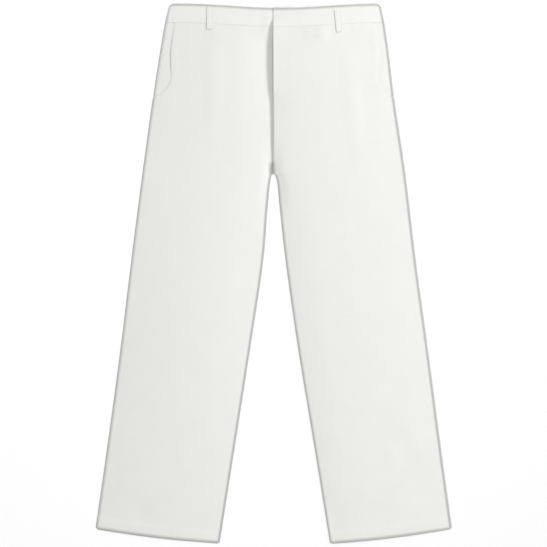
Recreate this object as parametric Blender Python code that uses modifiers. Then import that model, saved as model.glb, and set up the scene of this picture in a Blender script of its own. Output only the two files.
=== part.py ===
"""Linen trousers laid flat on a surface, front up, with the waist towards +Y.

Right and left are the wearer's: the right leg lies at -X. The origin is under the middle of
the trousers, on the surface that they lie on.
"""
from collections import namedtuple
from math import ceil, cos, pi, radians, sin, sqrt

import bmesh
import bpy

# Walls and gaps
CLOTH_WALL = 0.0013
HEM_WALL = 0.0018
BAND_WALL = 0.0014
LOOP_WALL = 0.0010
SEAM_GAP = 0.0003

# Upper side of the pocket facings and the fly shield, which lie on the backs
INNER_SHEET_HEIGHT = 2 * CLOTH_WALL + SEAM_GAP

# Waist
WAIST_HEIGHT = 0.5330
WAIST_DIP = 0.0088
WAIST_DIP_CENTRE = 0.014
WAIST_DIP_REACH = 0.200
WAIST_CORNER = 0.011
BAND_DEPTH = 0.038
BAND_LEAN_REACH = 0.060

# Hems
HEM_OUTER_HEIGHT = -0.5040
HEM_INNER_HEIGHT = -0.5325
HEM_BULGE = 0.0030
HEM_CORNER = 0.006
HEM_TURNING = 0.024
HEM_STEP = 0.004

# Share of a corner's reach that its rounding takes off the tip
CORNER_SHARE = 0.6

# Crotch
CROTCH_HEIGHT = 0.1962
CROTCH_ROUND = 0.003

# Fly and waistband lap
LAP_EDGE = -0.0013
BAND_UNDERLAP = 0.036
FLY_SHIELD_START = -0.010
FLY_SHIELD_END = 0.034
FLY_SHIELD_FOOT = 0.316
FLY_SHIELD_TAPER = 0.010

# How high the cloth stands over the surface it lies on, at its upper side
RIM_HEIGHT = 0.0030
HEM_RIM_LIFT = 0.0010
BAND_RIM_HEIGHT = 0.0033
SHOULDER_HEIGHT = 0.0041
BAND_SHOULDER_HEIGHT = 0.0043
CROWN_RISE = 0.0021
EDGE_ROUND = 0.005
POCKET_EDGE_HEIGHT = 0.0046
POCKET_GAPE = 0.0006
POCKET_EDGE_FADE = 0.028
POCKET_END_FADE = 0.020
FLY_BED_WIDTH = 0.034
FLY_BED_FADE = 0.040
LAP_FADE = 0.046
BAND_BED_HEIGHT = 0.0046
BAND_LAP_HEIGHT = 0.0063
BAND_LAP_EASE = 0.006

# Belt loops
LOOP_WIDTH = 0.013
FRONT_LOOP_LENGTH = 0.044
FRONT_LOOP_ARCH = 0.0020
FRONT_LOOP_RAMP = 0.25
FRONT_LOOP_CLEARANCE = SEAM_GAP + 0.00005
FRONT_LOOP_REACH = 0.004
BACK_LOOP_LENGTH = 0.034
BACK_LOOP_SIDE = 0.128
BACK_BAND_ARCH = LOOP_WALL + SEAM_GAP
BACK_BAND_ARCH_SLOPE = 0.013

# Half outline at the side seams, at each height
Outline = namedtuple("Outline", "height right left")
SIDE_SEAMS = [
    Outline(0.532, -0.2070, 0.2114),
    Outline(0.490, -0.2153, 0.2191),
    Outline(0.442, -0.2237, 0.2262),
    Outline(0.348, -0.2381, 0.2374),
    Outline(0.196, -0.2591, 0.2597),
    Outline(0.040, -0.2793, 0.2784),
    Outline(-0.149, -0.3025, 0.3042),
    Outline(-0.339, -0.3282, 0.3292),
    Outline(-0.502, -0.3516, 0.3514),
]

# Inseams, from the crotch to the hem
INSEAMS = [
    Outline(0.193, -0.0040, 0.0032),
    Outline(0.182, -0.0062, 0.0062),
    Outline(0.135, -0.0115, 0.0112),
    Outline(0.040, -0.0188, 0.0216),
    Outline(-0.149, -0.0463, 0.0482),
    Outline(-0.339, -0.0760, 0.0795),
    Outline(-0.531, -0.1062, 0.1107),
]

# Pocket mouth: how far the front stops short of the side seam
Mouth = namedtuple("Mouth", "height inset gape")
POCKET_MOUTH = [
    Mouth(0.495, 0.0185, 0.0),
    Mouth(0.470, 0.0200, 0.1),
    Mouth(0.435, 0.0215, 0.7),
    Mouth(0.405, 0.0268, 1.0),
    Mouth(0.387, 0.0300, 0.9),
    Mouth(0.370, 0.0262, 0.5),
    Mouth(0.356, 0.0150, 0.1),
    Mouth(0.346, 0.0000, 0.0),
]
POCKET_FOOT = 0.346
POCKET_FACING_FOOT = 0.351
POCKET_FACING_UNDERLAP = 0.010

# Fly: how far the right front runs under the lap, the height of its bed, and the lift of the lap
Fly = namedtuple("Fly", "height under_edge bed lap_lift")
FLY = [
    Fly(0.487, 0.018, 0.0046, 0.0027),
    Fly(0.462, 0.018, 0.0046, 0.0041),
    Fly(0.440, 0.018, 0.0046, 0.0047),
    Fly(0.400, 0.018, 0.0046, 0.0043),
    Fly(0.340, 0.016, 0.0046, 0.0033),
    Fly(0.305, 0.008, 0.0046, 0.0027),
    Fly(0.270, 0.006, 0.0042, 0.0023),
    Fly(0.235, 0.006, 0.0036, 0.0017),
    Fly(0.222, 0.005, 0.0034, 0.0015),
    Fly(0.209, -0.0022, 0.0033, 0.0012),
]
LAP_FOOT = 0.206
LAP_FOOT_EASE = 0.018

# Soft folds in the fronts: a line from its top to its foot, half its width, and its height or depth
Fold = namedtuple("Fold", "top_x top_y foot_x foot_y half_width rise")
RIGHT_FRONT_FOLDS = [
    Fold(-0.098, 0.500, -0.090, 0.170, 0.055, 0.0004),
    Fold(-0.150, 0.500, -0.146, 0.240, 0.030, -0.0006),
    Fold(-0.205, -0.090, -0.222, -0.470, 0.070, 0.0005),
    Fold(-0.150, -0.060, -0.138, -0.400, 0.040, -0.0005),
    Fold(-0.300, -0.425, -0.235, -0.505, 0.030, -0.0008),
    Fold(-0.060, 0.165, -0.050, -0.080, 0.032, -0.0005),
    Fold(-0.225, 0.210, -0.262, 0.020, 0.026, -0.0004),
]
LEFT_FRONT_FOLDS = [
    Fold(0.112, 0.500, 0.134, 0.190, 0.034, -0.0008),
    Fold(0.172, 0.440, 0.196, 0.120, 0.044, 0.0003),
    Fold(0.012, 0.240, 0.026, 0.060, 0.020, -0.0009),
    Fold(0.200, -0.248, 0.318, -0.470, 0.034, -0.0008),
    Fold(0.130, -0.440, 0.118, -0.545, 0.030, -0.0008),
    Fold(0.118, -0.020, 0.140, -0.330, 0.050, -0.0005),
    Fold(0.236, 0.030, 0.262, -0.190, 0.030, -0.0004),
]
FOLD_EDGE_FADE = 0.014
FOLD_END_FULLNESS = 0.7

# Front belt loops: where each one's head is, and its lean
LoopPlace = namedtuple("LoopPlace", "head_x head_drop lean")
FRONT_LOOPS = {
    "belt_loop_front_right": LoopPlace(-0.1242, 0.006, 0.0),
    "belt_loop_front_left": LoopPlace(0.1270, 0.010, 5.5),
}

# Columns and rows of the cloth grids
EDGE_STEPS = (0.0, 0.0012, 0.0030, 0.0060)
LEG_WIDTH = 0.235
FRONT_COLUMNS = 13
BACK_COLUMNS = 7
BAND_ROWS = (0.0, 0.0012, 0.0032, 0.0070, 0.0220, 0.0380)
BAND_STEPS = (0.0, 0.0010, 0.0030, 0.0060, 0.0100)
BAND_LONGEST_STEP = 0.020
FRONT_LOOP_COLUMNS = 2
FRONT_LOOP_ROWS = 8
BACK_LOOP_COLUMNS = 1
BACK_LOOP_ROWS = 4
INNER_SHEET_COLUMNS = 4
POCKET_FACING_ROWS = 9
FLY_SHIELD_ROWS = 6
HEM_VERTEX_ROWS = 3
CROTCH_ROWS_FOOT = 0.170
HEM_HEIGHT = HEM_INNER_HEIGHT + HEM_TURNING
RowBand = namedtuple("RowBand", "top foot rows")
FRONT_ROWS = [
    RowBand(0.4852, 0.410, 4),
    RowBand(0.410, 0.334, 7),
    RowBand(0.334, 0.224, 4),
    RowBand(0.224, CROTCH_HEIGHT, 3),
    RowBand(CROTCH_HEIGHT, CROTCH_HEIGHT - CROTCH_ROUND, 2),
    RowBand(CROTCH_HEIGHT - CROTCH_ROUND, CROTCH_ROWS_FOOT, 2),
    RowBand(CROTCH_ROWS_FOOT, HEM_HEIGHT + HEM_STEP, 15),
    RowBand(HEM_HEIGHT + HEM_STEP, HEM_HEIGHT, 1),
    RowBand(HEM_HEIGHT, HEM_INNER_HEIGHT, 2),
]
BACK_ROWS = [
    RowBand(0.4852, CROTCH_HEIGHT, 5),
    RowBand(CROTCH_HEIGHT, CROTCH_HEIGHT - CROTCH_ROUND, 2),
    RowBand(CROTCH_HEIGHT - CROTCH_ROUND, CROTCH_ROWS_FOOT, 1),
    RowBand(CROTCH_ROWS_FOOT, HEM_HEIGHT + HEM_STEP, 7),
    RowBand(HEM_HEIGHT + HEM_STEP, HEM_HEIGHT, 1),
    RowBand(HEM_HEIGHT, HEM_INNER_HEIGHT, 1),
]

# Colours
LINEN = (0.82, 0.82, 0.79, 1.0)
LINEN_BAND = (0.84, 0.84, 0.81, 1.0)
LINEN_SHADE = (0.78, 0.78, 0.75, 1.0)
LINEN_ROUGHNESS = 0.92

Panel = namedtuple("Panel", "low_edge high_edge low_hem high_hem")


def mix(start, end, share):
    """Value part of the way from start to end."""
    return start + (end - start) * share


def smooth(share):
    """Ease from 0 to 1 as share goes from 0 to 1."""
    share = min(max(share, 0.0), 1.0)
    return share * share * (3.0 - 2.0 * share)


def quarter_round(share):
    """Rise of a quarter circle from 0 to 1."""
    share = min(max(share, 0.0), 1.0)
    return sqrt(1.0 - (1.0 - share) ** 2)


def parabola(share):
    """Rise from 0 at both ends of a share to 1 in its middle."""
    return 4.0 * share * (1.0 - share)


def corner_cut(distance, reach):
    """How far a rounded corner stands back from a straight edge, at a distance from its end."""
    left = min(max(1.0 - distance / reach, 0.0), 1.0)
    return CORNER_SHARE * reach * left * left


def read(table, column, height):
    """Value of a table's column at a height, on a smooth curve through its rows."""
    rows = [(row.height, getattr(row, column)) for row in reversed(table)]
    if height <= rows[0][0]:
        return rows[0][1]
    if height >= rows[-1][0]:
        return rows[-1][1]
    place = next(i for i in range(len(rows) - 1) if height <= rows[i + 1][0])
    (low, start), (high, end) = rows[place], rows[place + 1]
    span = high - low
    slope = (end - start) / span
    slope_in, slope_out = slope, slope
    if place > 0:
        before = (start - rows[place - 1][1]) / (low - rows[place - 1][0])
        slope_in = 0.5 * (before + slope) if before * slope > 0.0 else 0.0
    if place + 2 < len(rows):
        after = (rows[place + 2][1] - end) / (rows[place + 2][0] - high)
        slope_out = 0.5 * (after + slope) if after * slope > 0.0 else 0.0
    t = (height - low) / span
    return (
        start * (2 * t ** 3 - 3 * t ** 2 + 1)
        + span * slope_in * (t ** 3 - 2 * t ** 2 + t)
        + end * (3 * t ** 2 - 2 * t ** 3)
        + span * slope_out * (t ** 3 - t ** 2)
    )


def waist_top(x):
    """Height of the waist's upper edge, which dips in the middle."""
    share = min(abs(x - WAIST_DIP_CENTRE) / WAIST_DIP_REACH, 1.0)
    return WAIST_HEIGHT - WAIST_DIP * cos(0.5 * pi * share) ** 2


def waist_seam(x):
    """Height of the seam between the waistband and the legs."""
    return waist_top(x) - BAND_DEPTH


def inner_edge(side, height, centre):
    """Inner edge of a leg: the centre line above the crotch, and the inseam below it."""
    opened = smooth((CROTCH_HEIGHT - height) / CROTCH_ROUND)
    return mix(centre, read(INSEAMS, side, height), opened)


def panel_point(panel, across, down):
    """Plan position in a leg panel: across from its -X edge to its +X edge, down from waist to hem."""
    low_x = panel.low_edge(WAIST_HEIGHT - BAND_DEPTH)
    high_x = panel.high_edge(WAIST_HEIGHT - BAND_DEPTH)
    low_y = mix(waist_seam(low_x), panel.low_hem, down)
    high_y = mix(waist_seam(high_x), panel.high_hem, down)
    x = mix(panel.low_edge(low_y), panel.high_edge(high_y), across)
    top = waist_seam(mix(low_x, high_x, across)) - SEAM_GAP
    foot = mix(panel.low_hem, panel.high_hem, across) - HEM_BULGE * sin(pi * across)
    foot += corner_cut(across * LEG_WIDTH, HEM_CORNER)
    foot += corner_cut((1.0 - across) * LEG_WIDTH, HEM_CORNER)
    return x, mix(top, foot, down)


def row_shares(bands):
    """Shares of the way from waist to hem at which a leg's rows lie."""
    top = bands[0].top
    length = top - bands[-1].foot
    heights = [top]
    for band in bands:
        heights += [mix(band.top, band.foot, (i + 1) / band.rows) for i in range(band.rows)]
    return [(top - height) / length for height in heights]


def column_shares(columns):
    """Shares of the way across a leg at which its columns lie, closer at both edges."""
    near = [step / LEG_WIDTH for step in EDGE_STEPS]
    middle = [mix(near[-1], 1.0 - near[-1], (i + 1) / columns) for i in range(columns - 1)]
    return near + middle + [1.0 - share for share in reversed(near)]


def fold_rise(folds, x, y):
    """Height that the folds of a front add at a place."""
    rise = 0.0
    for fold in folds:
        run_x = fold.foot_x - fold.top_x
        run_y = fold.foot_y - fold.top_y
        length = sqrt(run_x ** 2 + run_y ** 2)
        along = ((x - fold.top_x) * run_x + (y - fold.top_y) * run_y) / length ** 2
        aside = abs((x - fold.top_x) * run_y - (y - fold.top_y) * run_x) / length
        if 0.0 < along < 1.0 and aside < fold.half_width:
            ends = sin(pi * along) ** FOLD_END_FULLNESS
            rise += fold.rise * ends * cos(0.5 * pi * aside / fold.half_width) ** 2
    return rise


def outline_drop(distance):
    """How far the cloth rolls down towards an outline edge."""
    return (SHOULDER_HEIGHT - RIM_HEIGHT) * (1.0 - quarter_round(distance / EDGE_ROUND))


def hem_lift(y_over_hem):
    """Extra height of the turned hem."""
    return HEM_RIM_LIFT * smooth((HEM_TURNING + HEM_STEP - y_over_hem) / HEM_STEP)


def outer_drop(distance, height):
    """How far a front lies under its shoulder height near its side seam or pocket mouth."""
    at_mouth = smooth((height - POCKET_FOOT + POCKET_END_FADE) / POCKET_END_FADE)
    gape = POCKET_GAPE * read(POCKET_MOUTH, "gape", height)
    lift = POCKET_EDGE_HEIGHT + gape - SHOULDER_HEIGHT
    mouth = -lift * (1.0 - smooth(distance / POCKET_EDGE_FADE))
    return mix(outline_drop(distance), mouth, at_mouth)


def front_height(side, across, x, y, to_outer, to_inner, over_hem):
    """Height of the upper side of a front leg."""
    crown = SHOULDER_HEIGHT + CROWN_RISE * parabola(across)
    drop = outer_drop(to_outer, y)
    below_fly = smooth((LAP_FOOT - y) / LAP_FOOT_EASE)
    if side == "right":
        bed = read(FLY, "bed", y)
        above = mix(bed, crown, smooth((to_inner - FLY_BED_WIDTH) / FLY_BED_FADE)) - drop
        folds = RIGHT_FRONT_FOLDS
    else:
        lift = read(FLY, "lap_lift", y)
        above = crown + lift * (1.0 - smooth(to_inner / LAP_FADE)) - drop
        folds = LEFT_FRONT_FOLDS
    below = crown - drop - outline_drop(to_inner)
    fade = smooth(to_outer / FOLD_EDGE_FADE) * smooth(to_inner / FOLD_EDGE_FADE)
    return mix(above, below, below_fly) + fade * fold_rise(folds, x, y) + hem_lift(over_hem)


def linen(name, colour):
    """Plain linen with its own colour."""
    material = bpy.data.materials.new(name)
    material.use_nodes = True
    shader = material.node_tree.nodes["Principled BSDF"]
    shader.inputs["Base Color"].default_value = colour
    shader.inputs["Roughness"].default_value = LINEN_ROUGHNESS
    shader.inputs["Metallic"].default_value = 0.0
    material.diffuse_color = colour
    return material


def cloth_sheet(name, columns, rows, place, wall, colour, faces_down=False, hem_wall=None):
    """Open grid of cloth, moved to its form, whose wall lies behind its outer face."""
    grid = bmesh.new()
    bmesh.ops.create_grid(grid, x_segments=columns, y_segments=rows, size=1.0)
    in_hem = []
    grid.verts.ensure_lookup_table()
    for vertex in grid.verts:
        column = round(0.5 * (vertex.co.x + 1.0) * columns)
        row = round(0.5 * (1.0 - vertex.co.y) * rows)
        vertex.co = place(column, row)
        if row > rows - HEM_VERTEX_ROWS:
            in_hem.append(vertex.index)
    if faces_down:
        bmesh.ops.reverse_faces(grid, faces=grid.faces[:])
    mesh = bpy.data.meshes.new(name)
    grid.to_mesh(mesh)
    grid.free()
    mesh.materials.append(linen(name, colour))
    mesh.shade_smooth()
    piece = bpy.data.objects.new(name, mesh)
    bpy.data.collections["linen trousers"].objects.link(piece)
    solidify = piece.modifiers.new("wall", "SOLIDIFY")
    solidify.thickness = wall
    solidify.offset = -1.0
    if hem_wall:
        hem = piece.vertex_groups.new(name="hem")
        hem.add(in_hem, 1.0, "REPLACE")
        solidify.thickness = hem_wall
        solidify.vertex_group = "hem"
        solidify.thickness_vertex_group = wall / hem_wall
    return piece


def front_panel(side):
    """Plan of a front leg, whose outer edge is its side seam with the pocket mouth cut away."""
    turn = 1.0 if side == "right" else -1.0

    def outer(height):
        inset = read(POCKET_MOUTH, "inset", height) if height > POCKET_FOOT else 0.0
        return read(SIDE_SEAMS, side, height) + turn * inset

    def inner(height):
        centre = read(FLY, "under_edge", height) if side == "right" else LAP_EDGE
        return inner_edge(side, height, centre)

    if side == "right":
        return Panel(outer, inner, HEM_OUTER_HEIGHT, HEM_INNER_HEIGHT)
    return Panel(inner, outer, HEM_INNER_HEIGHT, HEM_OUTER_HEIGHT)


def back_panel(side):
    """Plan of a back leg, from its side seam to the centre back seam and the inseam."""
    centre = -0.5 * SEAM_GAP if side == "right" else 0.5 * SEAM_GAP

    def outer(height):
        return read(SIDE_SEAMS, side, height)

    def inner(height):
        return inner_edge(side, height, centre)

    if side == "right":
        return Panel(outer, inner, HEM_OUTER_HEIGHT, HEM_INNER_HEIGHT)
    return Panel(inner, outer, HEM_INNER_HEIGHT, HEM_OUTER_HEIGHT)


def build_front(side):
    """Front leg: its crown, folds, fly edge, pocket mouth and turned hem."""
    panel = front_panel(side)
    across_shares = column_shares(FRONT_COLUMNS)
    down_shares = row_shares(FRONT_ROWS)

    def place(column, row):
        across = across_shares[column]
        x, y = panel_point(panel, across, down_shares[row])
        hem_y = panel_point(panel, across, 1.0)[1]
        to_low = x - panel.low_edge(y)
        to_high = panel.high_edge(y) - x
        to_outer, to_inner = (to_low, to_high) if side == "right" else (to_high, to_low)
        share = across if side == "right" else 1.0 - across
        return x, y, front_height(side, share, x, y, max(to_outer, 0.0), max(to_inner, 0.0), y - hem_y)

    name = f"front_{side}_leg"
    columns = len(across_shares) - 1
    rows = len(down_shares) - 1
    return cloth_sheet(name, columns, rows, place, CLOTH_WALL, LINEN, hem_wall=HEM_WALL)


def build_back(side):
    """Back leg: it lies flat on its outer face."""
    panel = back_panel(side)
    across_shares = column_shares(BACK_COLUMNS)
    down_shares = row_shares(BACK_ROWS)

    def place(column, row):
        x, y = panel_point(panel, across_shares[column], down_shares[row])
        return x, y, 0.0

    name = f"back_{side}_leg"
    columns = len(across_shares) - 1
    rows = len(down_shares) - 1
    return cloth_sheet(name, columns, rows, place, CLOTH_WALL, LINEN, faces_down=True, hem_wall=HEM_WALL)


def filled(stops):
    """Stops in order, with more between any two that lie too far apart."""
    ordered = sorted(stops)
    more = []
    for start, end in zip(ordered, ordered[1:]):
        steps = ceil((end - start) / BAND_LONGEST_STEP)
        more += [mix(start, end, (i + 1) / steps) for i in range(steps - 1)]
    return sorted(ordered + more)


def band_point(low_x, high_x, x, drop, low_corner, high_corner):
    """Plan position in a waistband strip, with its outer ends leaning along the side seams."""
    height = waist_top(x) - drop
    leaning_x = x
    cut = 0.0
    if low_corner:
        shift = read(SIDE_SEAMS, "right", height) - low_x
        leaning_x += shift * smooth(1.0 - (x - low_x) / BAND_LEAN_REACH)
        cut += corner_cut(x - low_x, WAIST_CORNER)
    if high_corner:
        shift = read(SIDE_SEAMS, "left", height) - high_x
        leaning_x += shift * smooth(1.0 - (high_x - x) / BAND_LEAN_REACH)
        cut += corner_cut(high_x - x, WAIST_CORNER)
    return leaning_x, waist_top(leaning_x) - drop - cut * (1.0 - drop / BAND_DEPTH)


def band_height(side, x, to_outer, drop):
    """Height of the upper side of a front waistband."""
    half = abs(read(SIDE_SEAMS, side, WAIST_HEIGHT))
    share = min(abs(x) / half, 1.0)
    crown = BAND_SHOULDER_HEIGHT + CROWN_RISE * parabola(share)
    at_lap = BAND_BED_HEIGHT if side == "right" else BAND_LAP_HEIGHT
    past_lap = (-x if side == "right" else x - BAND_UNDERLAP) - BAND_LAP_EASE
    height = mix(at_lap, crown, smooth(past_lap / FLY_BED_FADE))
    clear_of_lap = smooth((abs(x) - BAND_UNDERLAP - BAND_LAP_EASE) / FLY_BED_FADE)
    end_roll = 1.0 - quarter_round(to_outer / EDGE_ROUND)
    top_roll = clear_of_lap * (1.0 - quarter_round(drop / EDGE_ROUND))
    return height - (BAND_SHOULDER_HEIGHT - BAND_RIM_HEIGHT) * max(end_roll, top_roll)


def build_band_front(side):
    """Front half of the waistband, with its underlap or its lap over the fly."""
    if side == "right":
        low_x = read(SIDE_SEAMS, "right", WAIST_HEIGHT)
        high_x = BAND_UNDERLAP
        outer_x = low_x
        stops = filled([low_x + step for step in BAND_STEPS] + [high_x])
    else:
        low_x = LAP_EDGE
        high_x = read(SIDE_SEAMS, "left", WAIST_HEIGHT)
        outer_x = high_x
        stops = filled([high_x - step for step in BAND_STEPS] + [low_x])

    def place(column, row):
        drop = BAND_ROWS[row]
        x, y = band_point(low_x, high_x, stops[column], drop, side == "right", side == "left")
        return x, y, band_height(side, stops[column], abs(stops[column] - outer_x), drop)

    rows = len(BAND_ROWS) - 1
    return cloth_sheet(f"waistband_{side}", len(stops) - 1, rows, place, BAND_WALL, LINEN_BAND)


def back_band_arch(x):
    """Height at which the back waistband passes over its belt loops."""
    arch = 0.0
    for loop_x in (-BACK_LOOP_SIDE, 0.0, BACK_LOOP_SIDE):
        aside = abs(x - loop_x) - 0.5 * LOOP_WIDTH - SEAM_GAP
        arch = max(arch, BACK_BAND_ARCH * (1.0 - smooth(aside / BACK_BAND_ARCH_SLOPE)))
    return arch


def build_band_back():
    """Back of the waistband, flat on its outer face but for its loops."""
    low_x = read(SIDE_SEAMS, "right", WAIST_HEIGHT)
    high_x = read(SIDE_SEAMS, "left", WAIST_HEIGHT)
    stops = [low_x + step for step in BAND_STEPS] + [high_x - step for step in BAND_STEPS]
    half = 0.5 * LOOP_WIDTH + SEAM_GAP
    for loop_x in (-BACK_LOOP_SIDE, 0.0, BACK_LOOP_SIDE):
        for share in (0.0, 0.5, 1.0):
            reach = half + share * BACK_BAND_ARCH_SLOPE
            stops += [loop_x - reach, loop_x + reach]
    stops = filled(stops)

    def place(column, row):
        drop = BAND_ROWS[row]
        x, y = band_point(low_x, high_x, stops[column], drop, True, True)
        return x, y, back_band_arch(stops[column])

    rows = len(BAND_ROWS) - 1
    return cloth_sheet("waistband_back", len(stops) - 1, rows, place, BAND_WALL, LINEN_BAND, faces_down=True)


def build_back_loop(name, centre_x):
    """Belt loop that lies flat between the back waistband and the surface."""
    top = waist_top(centre_x) - 0.5 * (BAND_DEPTH - BACK_LOOP_LENGTH)

    def place(column, row):
        x = centre_x + (column / BACK_LOOP_COLUMNS - 0.5) * LOOP_WIDTH
        return x, top - row / BACK_LOOP_ROWS * BACK_LOOP_LENGTH, 0.0

    columns = BACK_LOOP_COLUMNS
    return cloth_sheet(name, columns, BACK_LOOP_ROWS, place, LOOP_WALL, LINEN_BAND, faces_down=True)


def front_surface(side, x, y):
    """Height of the front's upper side under a belt loop, on the waistband or just below it."""
    seam = waist_seam(x)
    if y >= seam:
        half = abs(read(SIDE_SEAMS, side, y))
        return band_height(side, x, half - abs(x), waist_top(x) - y)
    panel = front_panel(side)
    to_low = x - panel.low_edge(y)
    to_high = panel.high_edge(y) - x
    low_share = to_low / (to_low + to_high)
    over_hem = y - HEM_HEIGHT
    if side == "right":
        return front_height(side, low_share, x, y, to_low, to_high, over_hem)
    return front_height(side, 1.0 - low_share, x, y, to_high, to_low, over_hem)


def build_front_loop(name, spot):
    """Belt loop that arches over the front waistband and ends below its seam."""
    side = "right" if spot.head_x < 0.0 else "left"
    top = waist_top(spot.head_x) - spot.head_drop
    lean = radians(spot.lean)

    def place(column, row):
        down = row / FRONT_LOOP_ROWS
        aside = (column / FRONT_LOOP_COLUMNS - 0.5) * LOOP_WIDTH
        run = down * FRONT_LOOP_LENGTH
        x = spot.head_x + aside * cos(lean) + run * sin(lean)
        y = top + aside * sin(lean) - run * cos(lean)
        arch = FRONT_LOOP_ARCH * smooth(down / FRONT_LOOP_RAMP) * smooth((1.0 - down) / FRONT_LOOP_RAMP)
        near = (y - FRONT_LOOP_REACH, y, y + FRONT_LOOP_REACH)
        under = max(front_surface(side, x, near_y) for near_y in near)
        return x, y, under + FRONT_LOOP_CLEARANCE + LOOP_WALL + arch

    return cloth_sheet(name, FRONT_LOOP_COLUMNS, FRONT_LOOP_ROWS, place, LOOP_WALL, LINEN_BAND)


def build_pocket_facing(side):
    """Hip piece behind the pocket mouth, from the side seam to under the front."""
    turn = 1.0 if side == "right" else -1.0
    columns, rows = INNER_SHEET_COLUMNS, POCKET_FACING_ROWS

    def place(column, row):
        outer_top = waist_seam(read(SIDE_SEAMS, side, WAIST_HEIGHT - BAND_DEPTH)) - SEAM_GAP
        height = mix(outer_top, POCKET_FACING_FOOT, row / rows)
        start = read(SIDE_SEAMS, side, height)
        reach = read(POCKET_MOUTH, "inset", height) + POCKET_FACING_UNDERLAP
        share = column / columns if side == "right" else 1.0 - column / columns
        x = start + turn * share * reach
        dip = outer_top - (waist_seam(x) - SEAM_GAP)
        return x, height - dip * (1.0 - row / rows), INNER_SHEET_HEIGHT

    return cloth_sheet(f"pocket_facing_{side}", columns, rows, place, CLOTH_WALL, LINEN_SHADE)


def build_fly_shield():
    """Cloth behind the fly, under both fronts, which narrows in its lower half."""
    columns, rows = INNER_SHEET_COLUMNS, FLY_SHIELD_ROWS

    def place(column, row):
        down = row / rows
        end = FLY_SHIELD_END - FLY_SHIELD_TAPER * smooth(2.0 * down - 1.0)
        x = mix(FLY_SHIELD_START, end, column / columns)
        top = waist_seam(x) - SEAM_GAP
        return x, mix(top, FLY_SHIELD_FOOT, down), INNER_SHEET_HEIGHT

    return cloth_sheet("fly_shield", columns, rows, place, CLOTH_WALL, LINEN_SHADE)


def clear_scene():
    """Remove whatever the scene holds."""
    for item in list(bpy.data.objects):
        bpy.data.objects.remove(item, do_unlink=True)


def main():
    """Build every piece of the trousers."""
    clear_scene()
    collection = bpy.data.collections.new("linen trousers")
    bpy.context.scene.collection.children.link(collection)
    for side in ("right", "left"):
        build_back(side)
        build_front(side)
        build_band_front(side)
        build_pocket_facing(side)
    build_band_back()
    build_fly_shield()
    for name, spot in FRONT_LOOPS.items():
        build_front_loop(name, spot)
    build_back_loop("belt_loop_back_centre", 0.0)
    build_back_loop("belt_loop_back_right", -BACK_LOOP_SIDE)
    build_back_loop("belt_loop_back_left", BACK_LOOP_SIDE)


main()
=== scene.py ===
"""Looks of a pair of linen trousers, laid flat, front up, on a plain pale floor.

Right and left are the wearer's: the right leg lies at -X, the waist is towards +Y, and the cloth
rises along +Z from the surface it lies on. Sizes are in metres.
"""
import logging
from collections.abc import Callable
from dataclasses import dataclass, field
from enum import Enum
from math import cos, hypot, pi, radians, sin

import bmesh
import bpy
import numpy as np
from mathutils import Matrix, Vector


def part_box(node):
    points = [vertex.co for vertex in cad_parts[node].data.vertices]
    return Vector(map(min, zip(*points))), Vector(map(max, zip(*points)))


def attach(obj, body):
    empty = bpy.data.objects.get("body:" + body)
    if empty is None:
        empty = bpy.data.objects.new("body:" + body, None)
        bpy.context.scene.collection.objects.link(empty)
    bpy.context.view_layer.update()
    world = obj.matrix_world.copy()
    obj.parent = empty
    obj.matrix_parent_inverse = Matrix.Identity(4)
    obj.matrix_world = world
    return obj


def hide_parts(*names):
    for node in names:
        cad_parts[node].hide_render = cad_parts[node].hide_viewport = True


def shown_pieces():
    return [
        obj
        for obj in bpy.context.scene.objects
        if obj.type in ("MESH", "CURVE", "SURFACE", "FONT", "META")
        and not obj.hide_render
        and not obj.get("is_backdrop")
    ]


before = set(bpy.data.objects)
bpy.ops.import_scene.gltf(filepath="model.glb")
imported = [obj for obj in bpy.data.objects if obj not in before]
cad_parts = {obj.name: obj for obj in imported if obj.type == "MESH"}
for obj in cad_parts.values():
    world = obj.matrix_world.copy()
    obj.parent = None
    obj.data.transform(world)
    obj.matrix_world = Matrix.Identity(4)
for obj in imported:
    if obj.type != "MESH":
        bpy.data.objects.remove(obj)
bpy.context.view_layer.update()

BODY = "root"
log = logging.getLogger("trousers")

# Keeps a share from being divided by nothing
TINY = 1e-9

# Steps of the cloth grids away from their edges, and from the waist and hem
EDGE_STEPS = (0.0, 0.0002, 0.0005, 0.0010, 0.0017, 0.0027, 0.0040, 0.0058)
ROW_STEPS = (0.0, 0.0004, 0.0010, 0.0020, 0.0034, 0.0052)

# Largest share of its bounding rectangle that a flat panel is said to fill
AREA_LIMIT = 0.999

# Waves of the cloth's unevenness: rate across, rate along and phase of each
RIPPLE_WAVES = (
    (118.0, 6.0, 0.0), (71.0, -9.0, 1.9), (163.0, 14.0, 4.1), (39.0, 21.0, 2.7), (24.0, -33.0, 5.2),
)
RIPPLE_DRIFT = 0.9
RIPPLE_DRIFT_RATE = 9.0
RIPPLE_FALL = 0.3

# Width of one band of the wave texture at a scale of 1, and sockets of the colour mix node
WAVE_BAND = 2.0 * pi / 20.0
MIX_SHARE, MIX_START, MIX_END, MIX_RESULT = 0, 6, 7, 2


class Side(Enum):
    """A leg of the trousers, as the wearer has it."""

    RIGHT = "right"
    LEFT = "left"

    @property
    def outward(self) -> float:
        """Sign of X from the centre line to this leg's side seam."""
        return -1.0 if self is Side.RIGHT else 1.0

    def in_x_order(self, shares: np.ndarray) -> np.ndarray:
        """Shares of the way in from the side seam, put in the order of X."""
        return shares if self is Side.RIGHT else shares[::-1]


def mix(start, end, share):
    """Value part of the way from start to end."""
    return start + (end - start) * share


def smooth(share: np.ndarray) -> np.ndarray:
    """Ease from 0 to 1 as share goes from 0 to 1."""
    held = np.clip(share, 0.0, 1.0)
    return held * held * (3.0 - 2.0 * held)


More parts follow.
